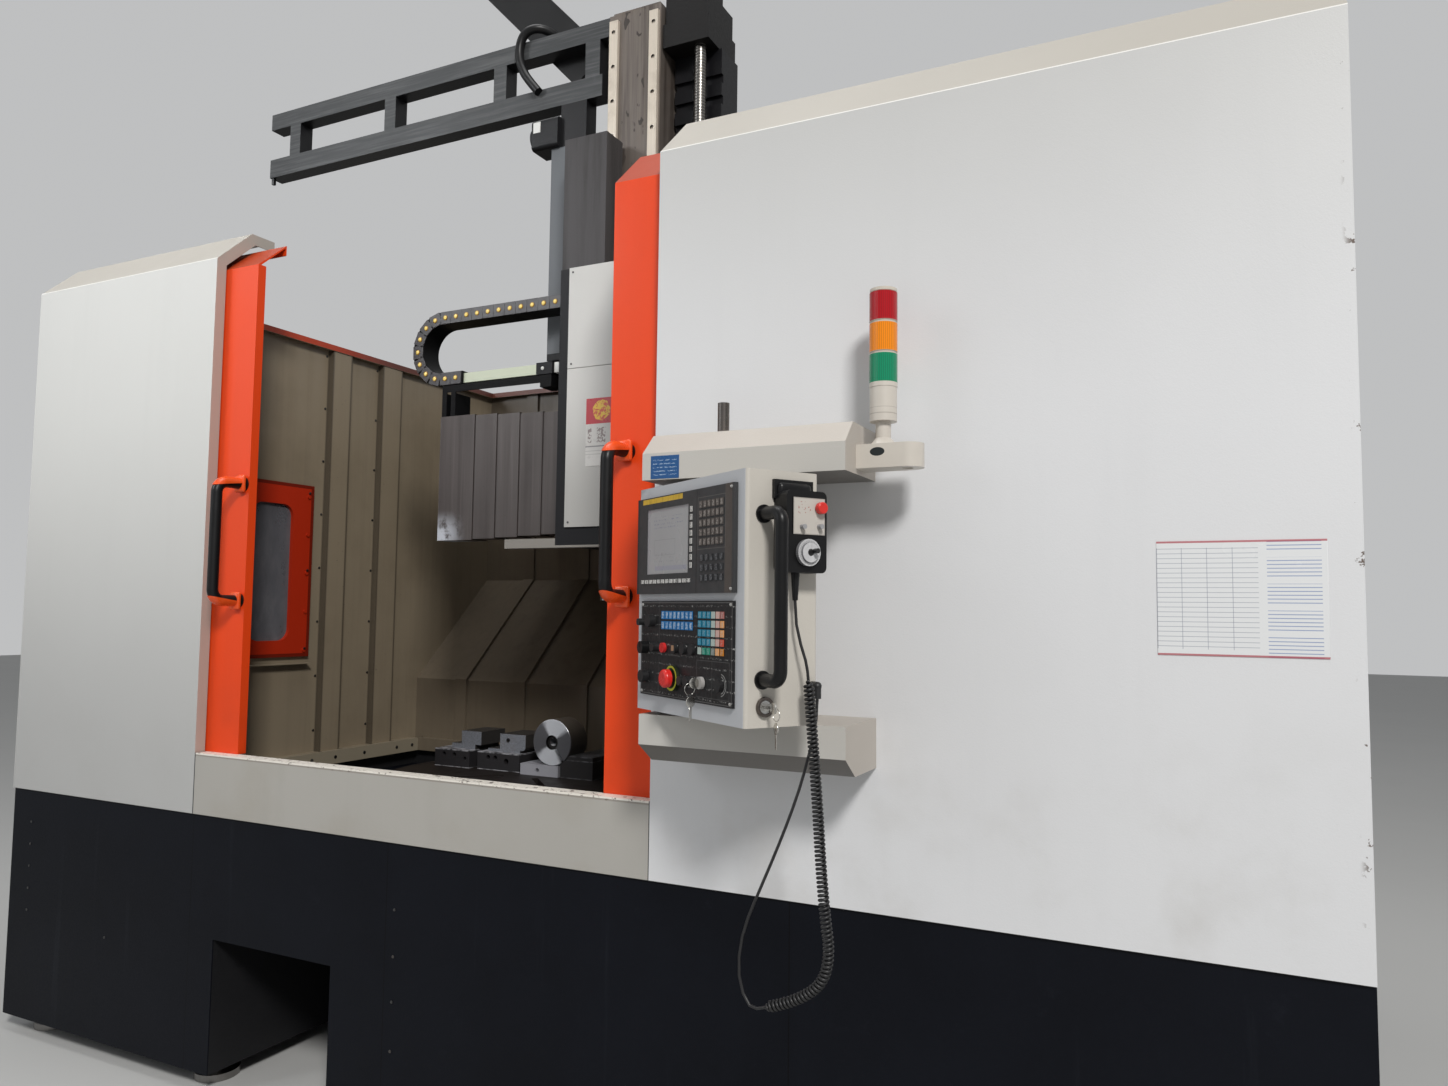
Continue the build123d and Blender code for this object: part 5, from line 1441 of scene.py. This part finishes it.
# %% Floor and world
nothing_selected()
bpy.ops.mesh.primitive_plane_add(size=60, location=(0, 0, -0.001))
floor = bpy.context.object
floor.name = "studio_floor"
floor_finish = Finish("studio_floor_grey", (0.62, 0.62, 0.61), 0.75)
floor_finish.set("Base Color", floor_finish.at.noise(0.8, 3.0).tint((0.60, 0.60, 0.59), (0.64, 0.64, 0.63)))
floor.data.materials.append(floor_finish.material)

world = bpy.data.worlds.new("studio_world")
world.use_nodes = True
scene.world = world
background = world.node_tree.nodes["Background"]
background.inputs["Color"].default_value = (0.93, 0.95, 0.97, 1)
background.inputs["Strength"].default_value = 0.22
backdrop = world.node_tree.nodes.new("ShaderNodeBackground")
backdrop.inputs["Color"].default_value = (0.52, 0.525, 0.53, 1)
backdrop.inputs["Strength"].default_value = 1.0
light_path = world.node_tree.nodes.new("ShaderNodeLightPath")
either = world.node_tree.nodes.new("ShaderNodeMixShader")
links = world.node_tree.links
seen = Signal(world.node_tree, light_path.outputs["Is Camera Ray"])
seen = seen.math("MAXIMUM", seen, Signal(world.node_tree, light_path.outputs["Is Glossy Ray"]))
seen = seen.math("MAXIMUM", seen, Signal(world.node_tree, light_path.outputs["Is Transmission Ray"]))
links.new(seen.socket, either.inputs[0])
links.new(background.outputs[0], either.inputs[1])
links.new(backdrop.outputs[0], either.inputs[2])
links.new(either.outputs[0], world.node_tree.nodes["World Output"].inputs[0])
print("floor and world set")

# %% [markdown]
# A key lamp from the right front gives the shadows their side. Weaker lamps fill in from the left
# and from above, and a narrow one lifts the upper left, where the inner wall would go dark.


# %% Lamps
def lamp(name, spot, target, size, power, colour=(1, 1, 1)):
    data = bpy.data.lights.new(name, "AREA")
    data.shape = "RECTANGLE"
    data.size, data.size_y = size
    data.energy = power
    data.color = colour
    obj = bpy.data.objects.new(name, data)
    scene.collection.objects.link(obj)
    heading = Vector(target) - Vector(spot)
    obj.matrix_world = Matrix.Translation(spot) @ heading.to_track_quat("-Z", "Y").to_matrix().to_4x4()
    return obj


TARGET = Vector((0.3, FRONT_Y, 1.5))
TOWARDS_KEY = Vector((0.52, -0.615, 0.593))
KEY_DISTANCE = 11
lamp("key_lamp", TARGET + TOWARDS_KEY * KEY_DISTANCE, TARGET, (1.8, 1.8), 900, (1.0, 0.985, 0.96))
lamp("fill_lamp", (-5.5, -6.5, 4.4), (-0.5, -0.6, 1.2), (4.0, 4.0), 65, (0.93, 0.97, 1.0))
left_lamp = lamp("left_lamp", (-3.4, -4.6, 4.8), (-1.6, -0.95, 2.75), (1.2, 1.2), 8, (0.97, 0.98, 1.0))
left_lamp.data.spread = math.radians(48)
lamp("top_lamp", (-0.4, -1.2, 6.6), (-0.4, -0.3, 1.0), (3.0, 2.0), 80)
scene.view_settings.view_transform = "Standard"
print("lamps", len(bpy.data.lights))
